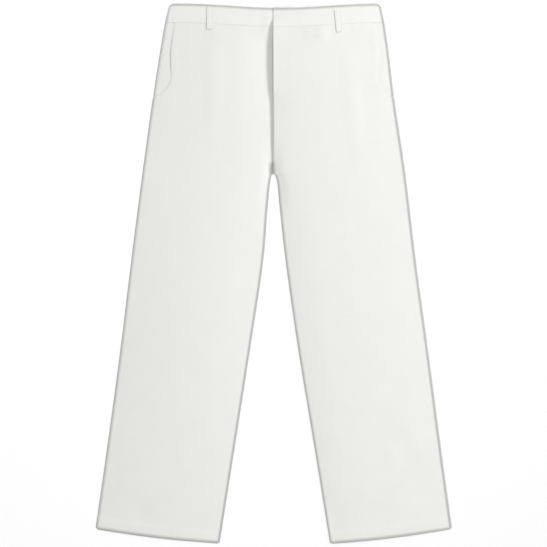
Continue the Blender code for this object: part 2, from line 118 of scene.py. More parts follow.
def quarter_round(share: np.ndarray) -> np.ndarray:
    """Rise of a quarter circle from 0 to 1."""
    held = np.clip(share, 0.0, 1.0)
    return np.sqrt(1.0 - (1.0 - held) ** 2)


def bell(offset: np.ndarray, half_width: float) -> np.ndarray:
    """Soft hump of height 1 that ends half_width away on both sides."""
    return np.cos(0.5 * pi * np.clip(offset / half_width, -1.0, 1.0)) ** 2


def rounding(distance: np.ndarray, reach: np.ndarray | float) -> np.ndarray:
    """How far a rounded edge is below full height: 1 at the edge, 0 from its reach on."""
    return 1.0 - quarter_round(distance / reach)


def fading(distance: np.ndarray, reach: float) -> np.ndarray:
    """Ease from 1 at an edge to 0 at a reach from it."""
    return 1.0 - smooth(distance / reach)


def edge_shade(distance: np.ndarray, width: float, fade: float) -> np.ndarray:
    """Painted shade of a turned edge: full for a width, then fading to none."""
    return fading(distance - width, fade)


def surface(x: np.ndarray, y: np.ndarray, height: np.ndarray) -> np.ndarray:
    """Points with their X, Y and Z on the last axis."""
    return np.stack((x, y, height), axis=-1)


@dataclass(frozen=True)
class Curve:
    """Smooth curve through points of height and value, held level past its ends."""

    points: tuple[tuple[float, float], ...]

    def __call__(self, height: np.ndarray) -> np.ndarray:
        """Read the curve.

        Args:
            height: Heights along Y at which the curve is read.

        Returns:
            The curve's value at each height.
        """
        ordered = sorted(self.points)
        low = np.array([point[0] for point in ordered])
        value = np.array([point[1] for point in ordered])
        slope = np.diff(value) / np.diff(low)
        tangent = np.concatenate(([slope[0]], 0.5 * (slope[:-1] + slope[1:]), [slope[-1]]))
        turns = np.concatenate(([False], slope[:-1] * slope[1:] <= 0.0, [False]))
        tangent[turns] = 0.0
        held = np.clip(height, low[0], low[-1])
        place = np.clip(np.searchsorted(low, held) - 1, 0, len(slope) - 1)
        span = low[place + 1] - low[place]
        t = (held - low[place]) / span
        return (
            value[place] * (2 * t**3 - 3 * t**2 + 1)
            + span * tangent[place] * (t**3 - 2 * t**2 + t)
            + value[place + 1] * (3 * t**2 - 2 * t**3)
            + span * tangent[place + 1] * (t**3 - t**2)
        )


@dataclass(frozen=True)
class Fold:
    """Soft ridge, or trough where rise is negative, along a line from its top to its foot."""

    top: tuple[float, float]
    foot: tuple[float, float]
    half_width: float
    rise: float
    taper_power: float = 0.8

    def height(self, x: np.ndarray, y: np.ndarray) -> np.ndarray:
        """Height that the fold adds at each place."""
        run_x = self.foot[0] - self.top[0]
        run_y = self.foot[1] - self.top[1]
        length = hypot(run_x, run_y)
        along = ((x - self.top[0]) * run_x + (y - self.top[1]) * run_y) / length**2
        aside = ((x - self.top[0]) * run_y - (y - self.top[1]) * run_x) / length
        taper = np.sin(pi * np.clip(along, 0.0, 1.0)) ** self.taper_power
        return self.rise * taper * bell(aside, self.half_width)


@dataclass(frozen=True)
class Pucker:
    """Small uneven gathers in the cloth along a seam."""

    height: float
    reach: float
    pitch: float
    wander: float
    wander_pitch: float
    swell_pitch: float
    swell_phase: float

    def __call__(self, x: np.ndarray, off_seam: np.ndarray) -> np.ndarray:
        """Height that the gathers add, at places along the seam and distances off it."""
        gathers = np.sin(x / self.pitch + self.wander * np.sin(x / self.wander_pitch))
        swell = 0.5 + 0.5 * np.sin(x / self.swell_pitch + self.swell_phase)
        return self.height * (gathers * swell) * bell(off_seam, self.reach)


@dataclass(frozen=True)
class Cut:
    """Outline of the trousers as they lie, shared by all their pieces."""

    waist_height: float = field(default_factory=lambda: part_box("waistband_back")[1].y)
    waist_dip: float = 0.0088
    waist_dip_centre: float = 0.014
    waist_dip_reach: float = 0.200
    waist_corner: float = 0.011
    band_depth: float = 0.038
    band_lean_reach: float = 0.060
    seam_gap: float = 0.0003
    hem_outer: float = -0.5040
    hem_inner: float = -0.5325
    hem_bulge: float = 0.0030
    hem_corner: float = 0.006
    hem_turning: float = 0.024
    hem_stitch_inset: float = 0.0022
    panel_length: float = 1.02
    corner_share: float = 0.6
    leg_width: float = 0.235
    crotch: float = 0.1962
    crotch_round: float = 0.003
    lap_edge: float = field(default_factory=lambda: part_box("front_left_leg")[0].x)
    right_side_seam: Curve = Curve((
        (0.532, -0.2070), (0.490, -0.2153), (0.442, -0.2237), (0.348, -0.2381), (0.196, -0.2591),
        (0.040, -0.2792), (-0.149, -0.3022), (-0.339, -0.3277), (-0.502, -0.3510),
    ))
    left_side_seam: Curve = Curve((
        (0.532, 0.2114), (0.490, 0.2191), (0.442, 0.2262), (0.348, 0.2374), (0.196, 0.2597),
        (0.040, 0.2784), (-0.149, 0.3042), (-0.339, 0.3292), (-0.502, 0.3514),
    ))
    right_inseam: Curve = Curve((
        (0.193, -0.0040), (0.182, -0.0062), (0.135, -0.0115), (0.040, -0.0188),
        (-0.149, -0.0463), (-0.339, -0.0760), (-0.531, -0.1062),
    ))
    left_inseam: Curve = Curve((
        (0.193, 0.0032), (0.182, 0.0062), (0.135, 0.0112), (0.040, 0.0216),
        (-0.149, 0.0482), (-0.339, 0.0795), (-0.531, 0.1107),
    ))
    pocket_inset: Curve = Curve((
        (0.495, 0.0185), (0.470, 0.0200), (0.435, 0.0215), (0.405, 0.0268),
        (0.387, 0.0300), (0.370, 0.0262), (0.356, 0.0150), (0.346, 0.0),
    ))
    pocket_foot: float = 0.346

    def waist_top(self, x: np.ndarray) -> np.ndarray:
        """Height of the waist's upper edge, which dips in the middle."""
        share = np.clip(np.abs(x - self.waist_dip_centre) / self.waist_dip_reach, 0.0, 1.0)
        return self.waist_height - self.waist_dip * np.cos(0.5 * pi * share) ** 2

    def waist_seam(self, x: np.ndarray) -> np.ndarray:
        """Height of the seam between the waistband and the legs."""
        return self.waist_top(x) - self.band_depth

    def side_seam(self, side: Side, height: np.ndarray) -> np.ndarray:
        """X of a leg's side seam at each height."""
        return self.right_side_seam(height) if side is Side.RIGHT else self.left_side_seam(height)

    def waist_end(self, side: Side) -> float:
        """X of the waist's upper corner at one side."""
        return float(self.side_seam(side, np.array(self.waist_height)))

    def inner_edge(self, side: Side, height: np.ndarray, centre: np.ndarray) -> np.ndarray:
        """X of a leg's inner edge: a centre line above the crotch, and the inseam below it."""
        inseam = self.right_inseam(height) if side is Side.RIGHT else self.left_inseam(height)
        return mix(centre, inseam, smooth((self.crotch - height) / self.crotch_round))

    def corner_cut(self, distance: np.ndarray, reach: float) -> np.ndarray:
        """How far a rounded corner stands back from a straight edge, at a distance from its end."""
        return self.corner_share * reach * np.clip(1.0 - distance / reach, 0.0, 1.0) ** 2

    def hem(self, side: Side, from_outer: np.ndarray) -> np.ndarray:
        """Height of a hem, at shares of the way from the side seam to the inseam."""
        level = mix(self.hem_outer, self.hem_inner, from_outer)
        level = level - self.hem_bulge * np.sin(pi * from_outer)
        level = level + self.corner_cut(from_outer * self.leg_width, self.hem_corner)
        return level + self.corner_cut((1.0 - from_outer) * self.leg_width, self.hem_corner)

    def hem_stitches(self, side: Side, from_outer: np.ndarray) -> tuple[np.ndarray, np.ndarray]:
        """X and Y of the stitch line over a hem, at shares of the way from the side seam."""
        y = self.hem(side, from_outer) + self.hem_turning - self.hem_stitch_inset
        return mix(self.side_seam(side, y), self.inner_edge(side, y, 0.0), from_outer), y

    def over_hem_stitches(self, over_hem: np.ndarray) -> np.ndarray:
        """Distance up from the hem's stitch line, from distances over the hem."""
        return over_hem - (self.hem_turning - self.hem_stitch_inset)


def graded(length: float, step: float, edges: tuple[float, ...]) -> np.ndarray:
    """Shares from 0 to 1 along a length, with finer steps at both ends.

    Args:
        length: The length that the shares run along.
        step: The longest step between two shares, as a length.
        edges: Distances of the finer stops from either end, from 0 up.

    Returns:
        The shares in order.
    """
    near = np.array(edges) / length
    count = max(int(np.ceil((length - 2.0 * edges[-1]) / step)), 1)
    middle = np.linspace(near[-1], 1.0 - near[-1], count + 1)[1:-1]
    return np.concatenate((near, middle, 1.0 - near[::-1]))


def flat_cut(points: np.ndarray) -> dict[str, tuple[float, float] | float]:
    """Flat size of a grid of cloth, measured over its surface.

    Args:
        points: The grid's points, by row and column.

    Returns:
        Its flat width and length, and its area, by name.
    """
    across = points[:-1, 1:] - points[:-1, :-1]
    down = points[1:, :-1] - points[:-1, :-1]
    extent = np.ptp(points, axis=(0, 1))
    longest_row = float(np.linalg.norm(across, axis=2).sum(axis=1).max())
    longest_column = float(np.linalg.norm(down, axis=2).sum(axis=0).max())
    width = round(max(longest_row, float(extent[0])), 4)
    length = round(max(longest_column, float(extent[1])), 4)
    area = float(np.linalg.norm(np.cross(across, down), axis=2).sum())
    return {"flat": (width, length), "area": min(area, AREA_LIMIT * width * length)}


def ripple(x: np.ndarray, y: np.ndarray, phase: float) -> np.ndarray:
    """Faint unevenness of laid cloth, mostly in long streaks down the leg, from -1 to 1."""
    total = np.zeros_like(x)
    for order, (over, along, shift) in enumerate(RIPPLE_WAVES):
        drift = RIPPLE_DRIFT * np.sin(RIPPLE_DRIFT_RATE * y + shift + phase)
        wave = np.sin(over * x + along * y + shift + phase + drift)
        total += wave / (1.0 + RIPPLE_FALL * order)
    return total / len(RIPPLE_WAVES)


def new_object(name: str, data: bpy.types.ID) -> bpy.types.Object:
    """Make an object from its data and put it in the scene."""
    made = bpy.data.objects.new(name, data)
    bpy.context.scene.collection.objects.link(made)
    return made


def new_mesh(name: str, shape: bmesh.types.BMesh, finish: bpy.types.Material) -> bpy.types.Mesh:
    """Turn a shape into a smooth-shaded mesh with one finish, and free the shape."""
    mesh = bpy.data.meshes.new(name)
    shape.to_mesh(mesh)
    shape.free()
    mesh.shade_smooth()
    mesh.materials.append(finish)
    return mesh


def new_material(
    name: str, roughness: float, sheen: float = 0.0
) -> tuple[bpy.types.Material, bpy.types.NodeTree, bpy.types.Node]:
    """Make a matt material.

    Args:
        name: The material's name.
        roughness: Its roughness.
        sheen: Weight of the soft sheen of its fibres.

    Returns:
        The material, its node tree and its shader.
    """
    material = bpy.data.materials.new(name)
    material.use_nodes = True
    shader = material.node_tree.nodes["Principled BSDF"]
    shader.inputs["Roughness"].default_value = roughness
    shader.inputs["Sheen Weight"].default_value = sheen
    return material, material.node_tree, shader


def blend(
    tree: bpy.types.NodeTree, share: bpy.types.NodeSocket,
    start: bpy.types.NodeSocket | tuple[float, float, float], end: tuple[float, float, float],
) -> bpy.types.NodeSocket:
    """Blend two colours in a material.

    Args:
        tree: The material's node tree.
        share: Output that says how far to go from the first colour to the second.
        start: The first colour, or the output that gives it.
        end: The second colour.

    Returns:
        The output that gives the blended colour.
    """
    node = tree.nodes.new("ShaderNodeMix")
    node.data_type = "RGBA"
    tree.links.new(share, node.inputs[MIX_SHARE])
    if isinstance(start, tuple):
        node.inputs[MIX_START].default_value = (*start, 1.0)
    else:
        tree.links.new(start, node.inputs[MIX_START])
    node.inputs[MIX_END].default_value = (*end, 1.0)
    return node.outputs[MIX_RESULT]


def combine(
    tree: bpy.types.NodeTree, operation: str,
    first: bpy.types.NodeSocket, second: bpy.types.NodeSocket | float,
    third: bpy.types.NodeSocket | None = None, third_weight: float = 1.0,
) -> bpy.types.NodeSocket:
    """Combine numbers in a material.

    Args:
        tree: The material's node tree.
        operation: What is done with them.
        first: Output that gives the first number.
        second: The second number, or the output that gives it.
        third: Output that gives a third number, where the operation takes one.
        third_weight: What the third number is multiplied by.

    Returns:
        The output that gives the result.
    """
    node = tree.nodes.new("ShaderNodeMath")
    node.operation = operation
    tree.links.new(first, node.inputs[0])
    if isinstance(second, float):
        node.inputs[1].default_value = second
    else:
        tree.links.new(second, node.inputs[1])
    if third is not None:
        tree.links.new(combine(tree, "MULTIPLY", third, third_weight), node.inputs[2])
    return node.outputs[0]


@dataclass(frozen=True)
class Linen:
    """Plain-woven linen: off-white yarn with slubs, matt, with painted shade where it is turned."""

    name: str
    colour: tuple[float, float, float] = (0.80, 0.80, 0.77)
    shade: tuple[float, float, float] = (0.70, 0.70, 0.665)
    # Dark colour that the seam attribute blends in: painted shade at the cloth's turned edges
    painted_shade: tuple[float, float, float] = (0.42, 0.42, 0.405)
    thread_pitch: float = 0.00055
    thread_waver: float = 0.6
    slub_width: float = 0.0011
    slub_length: float = 0.055
    slub_detail: float = 3.0
    slub_weight: float = 0.40
    slub_relief: float = 0.5
    mottle_size: float = 0.060
    mottle_weight: float = 0.30
    roughness: float = 0.93
    gloss: float = 0.25
    sheen: float = 0.10
    sheen_spread: float = 0.5
    weave_depth: float = 0.00012
    weave_strength: float = 0.5

    def material(self) -> bpy.types.Material:
        """Make the cloth's material, which follows its UV map in metres and its seam attribute of painted
        edge shade.
        """
        material, tree, shader = new_material(self.name, self.roughness, self.sheen)
        shader.inputs["Sheen Roughness"].default_value = self.sheen_spread
        shader.inputs["Specular IOR Level"].default_value = self.gloss
        uv = tree.nodes.new("ShaderNodeUVMap")
        uv.uv_map = "cloth"
        weave = combine(tree, "MULTIPLY", self._threads(tree, uv, "X"), self._threads(tree, uv, "Y"))
        down = self._uneven(tree, uv, self.slub_width, self.slub_length)
        across = self._uneven(tree, uv, self.slub_length, self.slub_width)
        slubs = combine(tree, "ADD", down, across)
        mottle = self._uneven(tree, uv, self.mottle_size, self.mottle_size)
        both = combine(tree, "MULTIPLY_ADD", slubs, self.slub_weight, mottle, self.mottle_weight)
        # Painted shade: the seam attribute darkens the cloth towards the dark colour at its turned edges,
        # hems, pocket mouths and belt loops
        seam = tree.nodes.new("ShaderNodeAttribute")
        seam.attribute_name = "seam"
        painted_shade_colour = blend(tree, seam.outputs["Fac"], blend(tree, both, self.shade, self.colour), self.painted_shade)
        tree.links.new(painted_shade_colour, shader.inputs["Base Color"])
        bump = tree.nodes.new("ShaderNodeBump")
        bump.inputs["Strength"].default_value = self.weave_strength
        bump.inputs["Distance"].default_value = self.weave_depth
        relief = combine(tree, "MULTIPLY_ADD", slubs, self.slub_relief, weave)
        tree.links.new(relief, bump.inputs["Height"])
        tree.links.new(bump.outputs["Normal"], shader.inputs["Normal"])
        return material

    def _threads(self, tree: bpy.types.NodeTree, uv: bpy.types.Node, way: str) -> bpy.types.NodeSocket:
        """Threads that lie side by side along one way of the cloth."""
        wave = tree.nodes.new("ShaderNodeTexWave")
        wave.bands_direction = way
        wave.inputs["Scale"].default_value = WAVE_BAND / self.thread_pitch
        wave.inputs["Distortion"].default_value = self.thread_waver
        wave.inputs["Detail"].default_value = 1.0
        tree.links.new(uv.outputs["UV"], wave.inputs["Vector"])
        return wave.outputs["Fac"]

    def _uneven(
        self, tree: bpy.types.NodeTree, uv: bpy.types.Node, across: float, along: float
    ) -> bpy.types.NodeSocket:
        """Uneven yarn, in patches of a size across and along the cloth."""
        mapping = tree.nodes.new("ShaderNodeMapping")
        mapping.inputs["Scale"].default_value = (1.0 / across, 1.0 / along, 1.0)
        noise = tree.nodes.new("ShaderNodeTexNoise")
        noise.inputs["Scale"].default_value = 1.0
        noise.inputs["Detail"].default_value = self.slub_detail
        tree.links.new(uv.outputs["UV"], mapping.inputs["Vector"])
        tree.links.new(mapping.outputs["Vector"], noise.inputs["Vector"])
        return noise.outputs["Fac"]


@dataclass(frozen=True)
class Thread:
    """Matt cotton sewing thread, a shade lighter than the linen, with a fine twist."""

    name: str = "thread"
    colour: tuple[float, float, float] = (0.82, 0.82, 0.79)
    shade: tuple[float, float, float] = (0.72, 0.72, 0.69)
    roughness: float = 0.75
    sheen: float = 0.15
    twist: float = 2600.0

    def material(self) -> bpy.types.Material:
        """Make the thread's material, on object coordinates."""
        material, tree, shader = new_material(self.name, self.roughness, self.sheen)
        place = tree.nodes.new("ShaderNodeTexCoord")
        noise = tree.nodes.new("ShaderNodeTexNoise")
        noise.inputs["Scale"].default_value = self.twist
        tree.links.new(place.outputs["Object"], noise.inputs["Vector"])
        tone = blend(tree, noise.outputs["Fac"], self.shade, self.colour)
        tree.links.new(tone, shader.inputs["Base Color"])
        return material


@dataclass
class Sheet:
    """A grid of cloth on its way to becoming the piece that stands for a node."""

    node: str
    finish: bpy.types.Material
    slot: str
    points: np.ndarray
    cloth: np.ndarray
    # Share of painted edge shade at each point, which the material reads as its seam attribute
    seam: np.ndarray
    wall: float = 0.0005
    hem_rows: int = 0
    hem_wall: float = 0.0010
    faces_down: bool = False
    rests_on: tuple[str, ...] = ()

    def build(self) -> bpy.types.Object:
        """Returns:
            The finished piece, at the origin.
        """
        rows, columns = self.points.shape[0] - 1, self.points.shape[1] - 1
        grid = bmesh.new()
        bmesh.ops.create_grid(grid, x_segments=columns, y_segments=rows, size=1.0)
        # The seam attribute carries the painted edge shade to the material
        tone = grid.verts.layers.float.new("seam")
        place = {}
        in_hem = []
        grid.verts.index_update()
        for vertex in grid.verts:
            column = round(0.5 * (vertex.co.x + 1.0) * columns)
            row = round(0.5 * (1.0 - vertex.co.y) * rows)
            place[vertex.index] = (row, column)
            vertex[tone] = float(self.seam[row, column])
            if row > rows - self.hem_rows:
                in_hem.append(vertex.index)
        for vertex in grid.verts:
            vertex.co = self.points[place[vertex.index]]
        layer = grid.loops.layers.uv.new("cloth")
        for face in grid.faces:
            for loop in face.loops:
                loop[layer].uv = self.cloth[place[loop.vert.index]]
        if self.faces_down:
            bmesh.ops.reverse_faces(grid, faces=grid.faces[:])
        name = f"{self.node}_cloth"
        piece = new_object(name, new_mesh(name, grid, self.finish))
        solidify = piece.modifiers.new("wall", "SOLIDIFY")
        solidify.thickness = self.wall
        solidify.offset = -1.0
        if in_hem:
            group = piece.vertex_groups.new(name="hem")
            group.add(in_hem, 1.0, "REPLACE")
            solidify.thickness = self.hem_wall
            solidify.vertex_group = "hem"
            solidify.thickness_vertex_group = self.wall / self.hem_wall
        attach(piece, BODY)
        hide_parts(self.node)
        flat_cut(self.points)
        log.info("%s: %d by %d faces of cloth", name, columns, rows)
        return piece


@dataclass(frozen=True)
class Lie:
    """How high the upper cloth of one leg lies: it swells from both edges to a peak between them."""

    side: Side
    cut: Cut
    outer_height: Curve
    inner_height: Curve
    peak_height: Curve
    peak_place: Curve
    centre: float

    def distances(self, x: np.ndarray, y: np.ndarray) -> tuple[np.ndarray, np.ndarray]:
        """Distances inwards from the side seam and outwards from the centre line or inseam."""
        to_side = self.side.outward * (self.cut.side_seam(self.side, y) - x)
        to_inner = self.side.outward * (x - self.cut.inner_edge(self.side, y, self.centre))
        return np.maximum(to_side, 0.0), np.maximum(to_inner, 0.0)

    def __call__(self, x: np.ndarray, y: np.ndarray) -> np.ndarray:
        """Read the height.

        Args:
            x: Places across the leg.
            y: Places along the leg, of the same shape.

        Returns:
            The height at each place, before any edge is turned down.
        """
        to_side, to_inner = self.distances(x, y)
        share = to_side / np.maximum(to_side + to_inner, TINY)
        peak, place = self.peak_height(y), self.peak_place(y)
        start, end = self.outer_height(y), self.inner_height(y)
        rising = start + (peak - start) * (1.0 - (1.0 - share / place) ** 2)
        falling = peak - (peak - end) * ((share - place) / (1.0 - place)) ** 2
        return np.where(share < place, rising, falling)


@dataclass
class Leg:
    """What the front and the back of one leg share: their outline in plan and their grid of cloth."""

    side: Side
    cut: Cut
    finish: bpy.types.Material

    def outer(self, height: np.ndarray) -> np.ndarray:
        """X of the outer edge at each height."""
        return self.cut.side_seam(self.side, height)

    def inner(self, height: np.ndarray) -> np.ndarray:
        """X of the inner edge at each height."""
        return self.cut.inner_edge(self.side, height, 0.0)

    def plan(self, from_outer: np.ndarray, down: np.ndarray, tuck: float) -> tuple[np.ndarray, np.ndarray]:
        """Lay out places in plan.

        Args:
            from_outer: Shares of the way from the outer edge to the inner one.
            down: Shares of the way from waist to hem.
            tuck: How far the cloth runs up past the waist seam.

        Returns:
            X and Y of each place.
        """
        start = self.cut.waist_height - self.cut.band_depth
        outer_x, inner_x = self.outer(start), self.inner(start)
        outer_y = mix(self.cut.waist_seam(outer_x), self.cut.hem_outer, down)
        inner_y = mix(self.cut.waist_seam(inner_x), self.cut.hem_inner, down)
        x = mix(self.outer(outer_y), self.inner(inner_y), from_outer)
        top = self.cut.waist_seam(mix(outer_x, inner_x, from_outer)) + tuck
        return x, mix(top, self.cut.hem(self.side, from_outer), down)

    def grid(
        self, column_step: float, row_step: float, tuck: float = 0.0
    ) -> tuple[np.ndarray, np.ndarray, np.ndarray, int]:
        """Lay out the grid of cloth.

        Args:
            column_step: Longest step across the leg.
            row_step: Longest step down it.
            tuck: How far the cloth runs up past the waist seam.

        Returns:
            X and Y of each place, its place on the flat cloth, and the number of rows in the hem.
        """
        from_outer = self.side.in_x_order(graded(self.cut.leg_width, column_step, EDGE_STEPS))
        down = graded(self.cut.waist_height - self.cut.hem_inner, row_step, ROW_STEPS)
        x, y = self.plan(*np.meshgrid(from_outer, down), tuck)
        cloth = np.stack((x - 0.5 * (self.outer(y) + self.inner(y)), y), axis=2)
        hem_rows = int(np.sum((1.0 - down) * self.cut.panel_length < self.cut.hem_turning))
        return x, y, cloth, hem_rows


@dataclass
class FrontLeg(Leg):
    """Front of one leg, from the waist seam to its hem, with its side of the fly and its pocket mouth."""

    lie: Lie
    folds: tuple[Fold, ...]
    gape: Curve
    wall: float = 0.00035
    column_step: float = 0.0024
    row_step: float = 0.0034
    rim: float = 0.0011
    edge_round: float = 0.0026
    left_inseam_round: float = 1.3
    mouth_start: float = 0.004
    mouth_fade: float = 0.026
    mouth_round: float = 0.0020
    mouth_roll: float = 0.00022
    mouth_set: float = 0.00012
    mouth_set_width: float = 0.006
    # Painted shade along the left pocket mouth, whose edge faces the light
    mouth_painted_shade: float = 0.3
    mouth_tone_width: float = 0.0005
    mouth_tone_fade: float = 0.0010
    lap_foot: float = 0.206
    lap_foot_ease: float = 0.018
    hem_lift: float = 0.0005
    hem_step: float = 0.003
    hem_roll: float = 0.0024
    hem_edge_drop: float = 0.0013
    # Painted shade along the turned hem edge
    hem_painted_shade: float = 0.85
    hem_pucker: Pucker = Pucker(0.00007, 0.013, 0.0024, 2.5, 0.017, 0.029, 1.0)
    stitch_sink: float = 0.00020
    stitch_width: float = 0.0022
    tuck: float = 0.0012
    tuck_depth: float = 0.0011
    tuck_start: float = 0.0001
    tuck_ease: float = 0.0008
    waist_pucker: Pucker = Pucker(0.00009, 0.026, 0.0042, 3.0, 0.023, 0.037, 2.0)
    waist_pucker_drop: float = 0.004
    fold_fade: float = 0.012
    ripple_height: float = 0.00010
    left_ripple_phase: float = 2.2
    # Painted shade along the side seam and inseam, deeper where the edge is turned to the light
    shade_width: float = 0.0032
    shade_fade: float = 0.0036
    lit_shade: float = 1.0
    lee_width: float = 0.0036
    lee_fade: float = 0.0026
    lee_shade: float = 0.52
    inseam_tone_lead: float = 0.022
    dip_reach: float = 0.022
    crotch_dip: Curve = Curve((
        (0.275, 0.0), (0.235, 0.0007), (0.205, 0.0016), (0.165, 0.0011), (0.100, 0.0002), (0.030, 0.0),
    ))
    lap_round: Curve = Curve(((0.420, 0.0012), (0.370, 0.0022), (0.330, 0.0042), (0.200, 0.0060)))
    lap_drop: Curve = Curve(((0.420, 0.0004), (0.370, 0.0006), (0.330, 0.0011), (0.200, 0.0012)))
    lap_turn: float = 0.0004
    lap_edge_height: Curve = Curve((
        (0.520, 0.0058), (0.497, 0.0050), (0.487, 0.0042), (0.461, 0.0037), (0.420, 0.0035),
        (0.361, 0.0035), (0.322, 0.0036), (0.260, 0.0036), (0.209, 0.0034),
    ))
    under_edge: Curve = Curve((
        (0.487, 0.018), (0.400, 0.018), (0.340, 0.016), (0.305, 0.008), (0.270, 0.006),
        (0.235, 0.006), (0.222, 0.005), (0.209, -0.0022),
    ))

    def painted_edge_shade(self, distance: np.ndarray, in_lee: bool) -> np.ndarray:
        """Painted shade of a long edge, deeper and wider where it is turned to the light."""
        if in_lee:
            return self.lee_shade * edge_shade(distance, self.lee_width, self.lee_fade)
        return self.lit_shade * edge_shade(distance, self.shade_width, self.shade_fade)

    def outer(self, height: np.ndarray) -> np.ndarray:
        """X of the side seam, or of the pocket mouth where the front is cut away."""
        inset = np.where(height > self.cut.pocket_foot, self.cut.pocket_inset(height), 0.0)
        return self.cut.side_seam(self.side, height) - self.side.outward * inset

    def inner(self, height: np.ndarray) -> np.ndarray:
        """X of the edge at the fly or the inseam."""
        centre = self.under_edge(height) if self.side is Side.RIGHT else self.cut.lap_edge
        return self.cut.inner_edge(self.side, height, centre)

    def to_mouth(self, x: np.ndarray, y: np.ndarray) -> np.ndarray:
        """Distance inwards from the outer edge, which is the pocket mouth higher up."""
        return np.maximum(self.side.outward * (self.outer(y) - x), 0.0)

    def over_hem(self, x: np.ndarray, y: np.ndarray) -> np.ndarray:
        """Distance up from the hem."""
        to_side, to_inner = self.lie.distances(x, y)
        share = to_side / np.maximum(to_side + to_inner, TINY)
        return np.maximum(y - self.cut.hem(self.side, share), 0.0)

    def height(self, x: np.ndarray, y: np.ndarray) -> np.ndarray:
        """Height of the upper face of the cloth over the surface it lies on.

        Args:
            x: Places across the leg.
            y: Places along the leg, of the same shape.

        Returns:
            The height at each place.
        """
        to_side, to_inner = self.lie.distances(x, y)
        level = self.lie(x, y) - self.crotch_dip(y) * fading(to_inner, self.dip_reach)
        side_drop = (level - self.rim) * rounding(to_side, self.edge_round)
        below = smooth((self.lap_foot - y) / self.lap_foot_ease)
        reach = self.edge_round * (self.left_inseam_round if self.side is Side.LEFT else 1.0)
        inner_drop = below * (level - self.rim) * rounding(to_inner, reach)
        level = level - np.maximum(side_drop, inner_drop) + self.mouth_form(x, y)
        if self.side is Side.LEFT:
            to_lap = np.maximum(x - self.cut.lap_edge, 0.0)
            level = level - self.lap_drop(y) * (1.0 - below) * rounding(to_lap, self.lap_round(y))
            turned = np.maximum(level - self.lap_edge_height(y), 0.0) * (1.0 - below)
            level = level - turned * rounding(to_lap, self.lap_turn)
        inside = smooth(to_side / self.fold_fade) * mix(1.0, smooth(to_inner / self.fold_fade), below)
        for fold in self.folds:
            level = level + inside * fold.height(x, y)
        phase = 0.0 if self.side is Side.RIGHT else self.left_ripple_phase
        level = level + inside * self.ripple_height * ripple(x, y, phase)
        return level + self.hem_form(x, self.over_hem(x, y)) + self.waist_form(x, y, inside)

    def mouth_form(self, x: np.ndarray, y: np.ndarray) -> np.ndarray:
        """Height that the pocket mouth adds: it gapes a little, and its edge is pressed and rolls down."""
        to_mouth = self.to_mouth(x, y)
        gape = self.gape(y) * fading(to_mouth, self.mouth_fade)
        pressed = self.mouth_set * fading(to_mouth, self.mouth_set_width)
        rolled = self.mouth_roll * rounding(to_mouth, self.mouth_round)
        return smooth((y - self.cut.pocket_foot) / self.mouth_start) * (gape - pressed - rolled)

    def hem_form(self, x: np.ndarray, over_hem: np.ndarray) -> np.ndarray:
        """Height that the turned hem adds: double cloth, stitch line, puckers and rolled edge."""
        step_top = self.cut.hem_turning + 0.5 * self.hem_step
        turned = self.hem_lift * smooth((step_top - over_hem) / self.hem_step)
        line = self.stitch_sink * bell(self.cut.over_hem_stitches(over_hem), self.stitch_width)
        roll = self.hem_edge_drop * rounding(over_hem, self.hem_roll)
        return turned - line + self.hem_pucker(x, over_hem - self.cut.hem_turning) - roll

    def waist_form(self, x: np.ndarray, y: np.ndarray, inside: np.ndarray) -> np.ndarray:
        """Height that the waist seam adds: the cloth tucks under the band, and puckers just below it."""
        under = self.cut.waist_seam(x) - y
        tucked = self.tuck_depth * smooth((self.tuck_start - under) / self.tuck_ease)
        return inside * self.waist_pucker(x, under - self.waist_pucker_drop) - tucked

    def build(self) -> bpy.types.Object:
        """Make the piece that stands for the front leg's node."""
        x, y, cloth, hem_rows = self.grid(self.column_step, self.row_step, self.tuck)
        return Sheet(
            f"front_{self.side.value}_leg", self.finish, "linen", surface(x, y, self.height(x, y)), cloth,
            self.painted_shade(x, y), wall=self.wall, hem_rows=hem_rows,
            rests_on=(f"back_{self.side.value}_leg_cloth",),
        ).build()

    def painted_shade(self, x: np.ndarray, y: np.ndarray) -> np.ndarray:
        """How far painted shade darkens the cloth at its sewn and turned edges, from 0 to 1."""
        to_side, to_inner = self.lie.distances(x, y)
        # Painted shade along the side seam, and along the inseam below the fly
        side = self.painted_edge_shade(to_side, self.side is Side.RIGHT)
        inseam = self.painted_edge_shade(to_inner, self.side is Side.LEFT)
        inseam = inseam * smooth((self.lap_foot + self.inseam_tone_lead - y) / self.lap_foot_ease)
        # Painted shade along the turned hem
        hem = self.hem_painted_shade * edge_shade(self.over_hem(x, y), self.shade_width, self.shade_fade)
        # Painted shade on the left pocket mouth's edge only, where it faces the light
        mouth = edge_shade(self.to_mouth(x, y), self.mouth_tone_width, self.mouth_tone_fade)
        mouth = mouth * (0.0 if self.side is Side.RIGHT else self.mouth_painted_shade)
        return np.maximum(np.maximum(side, inseam), np.maximum(hem, mouth))


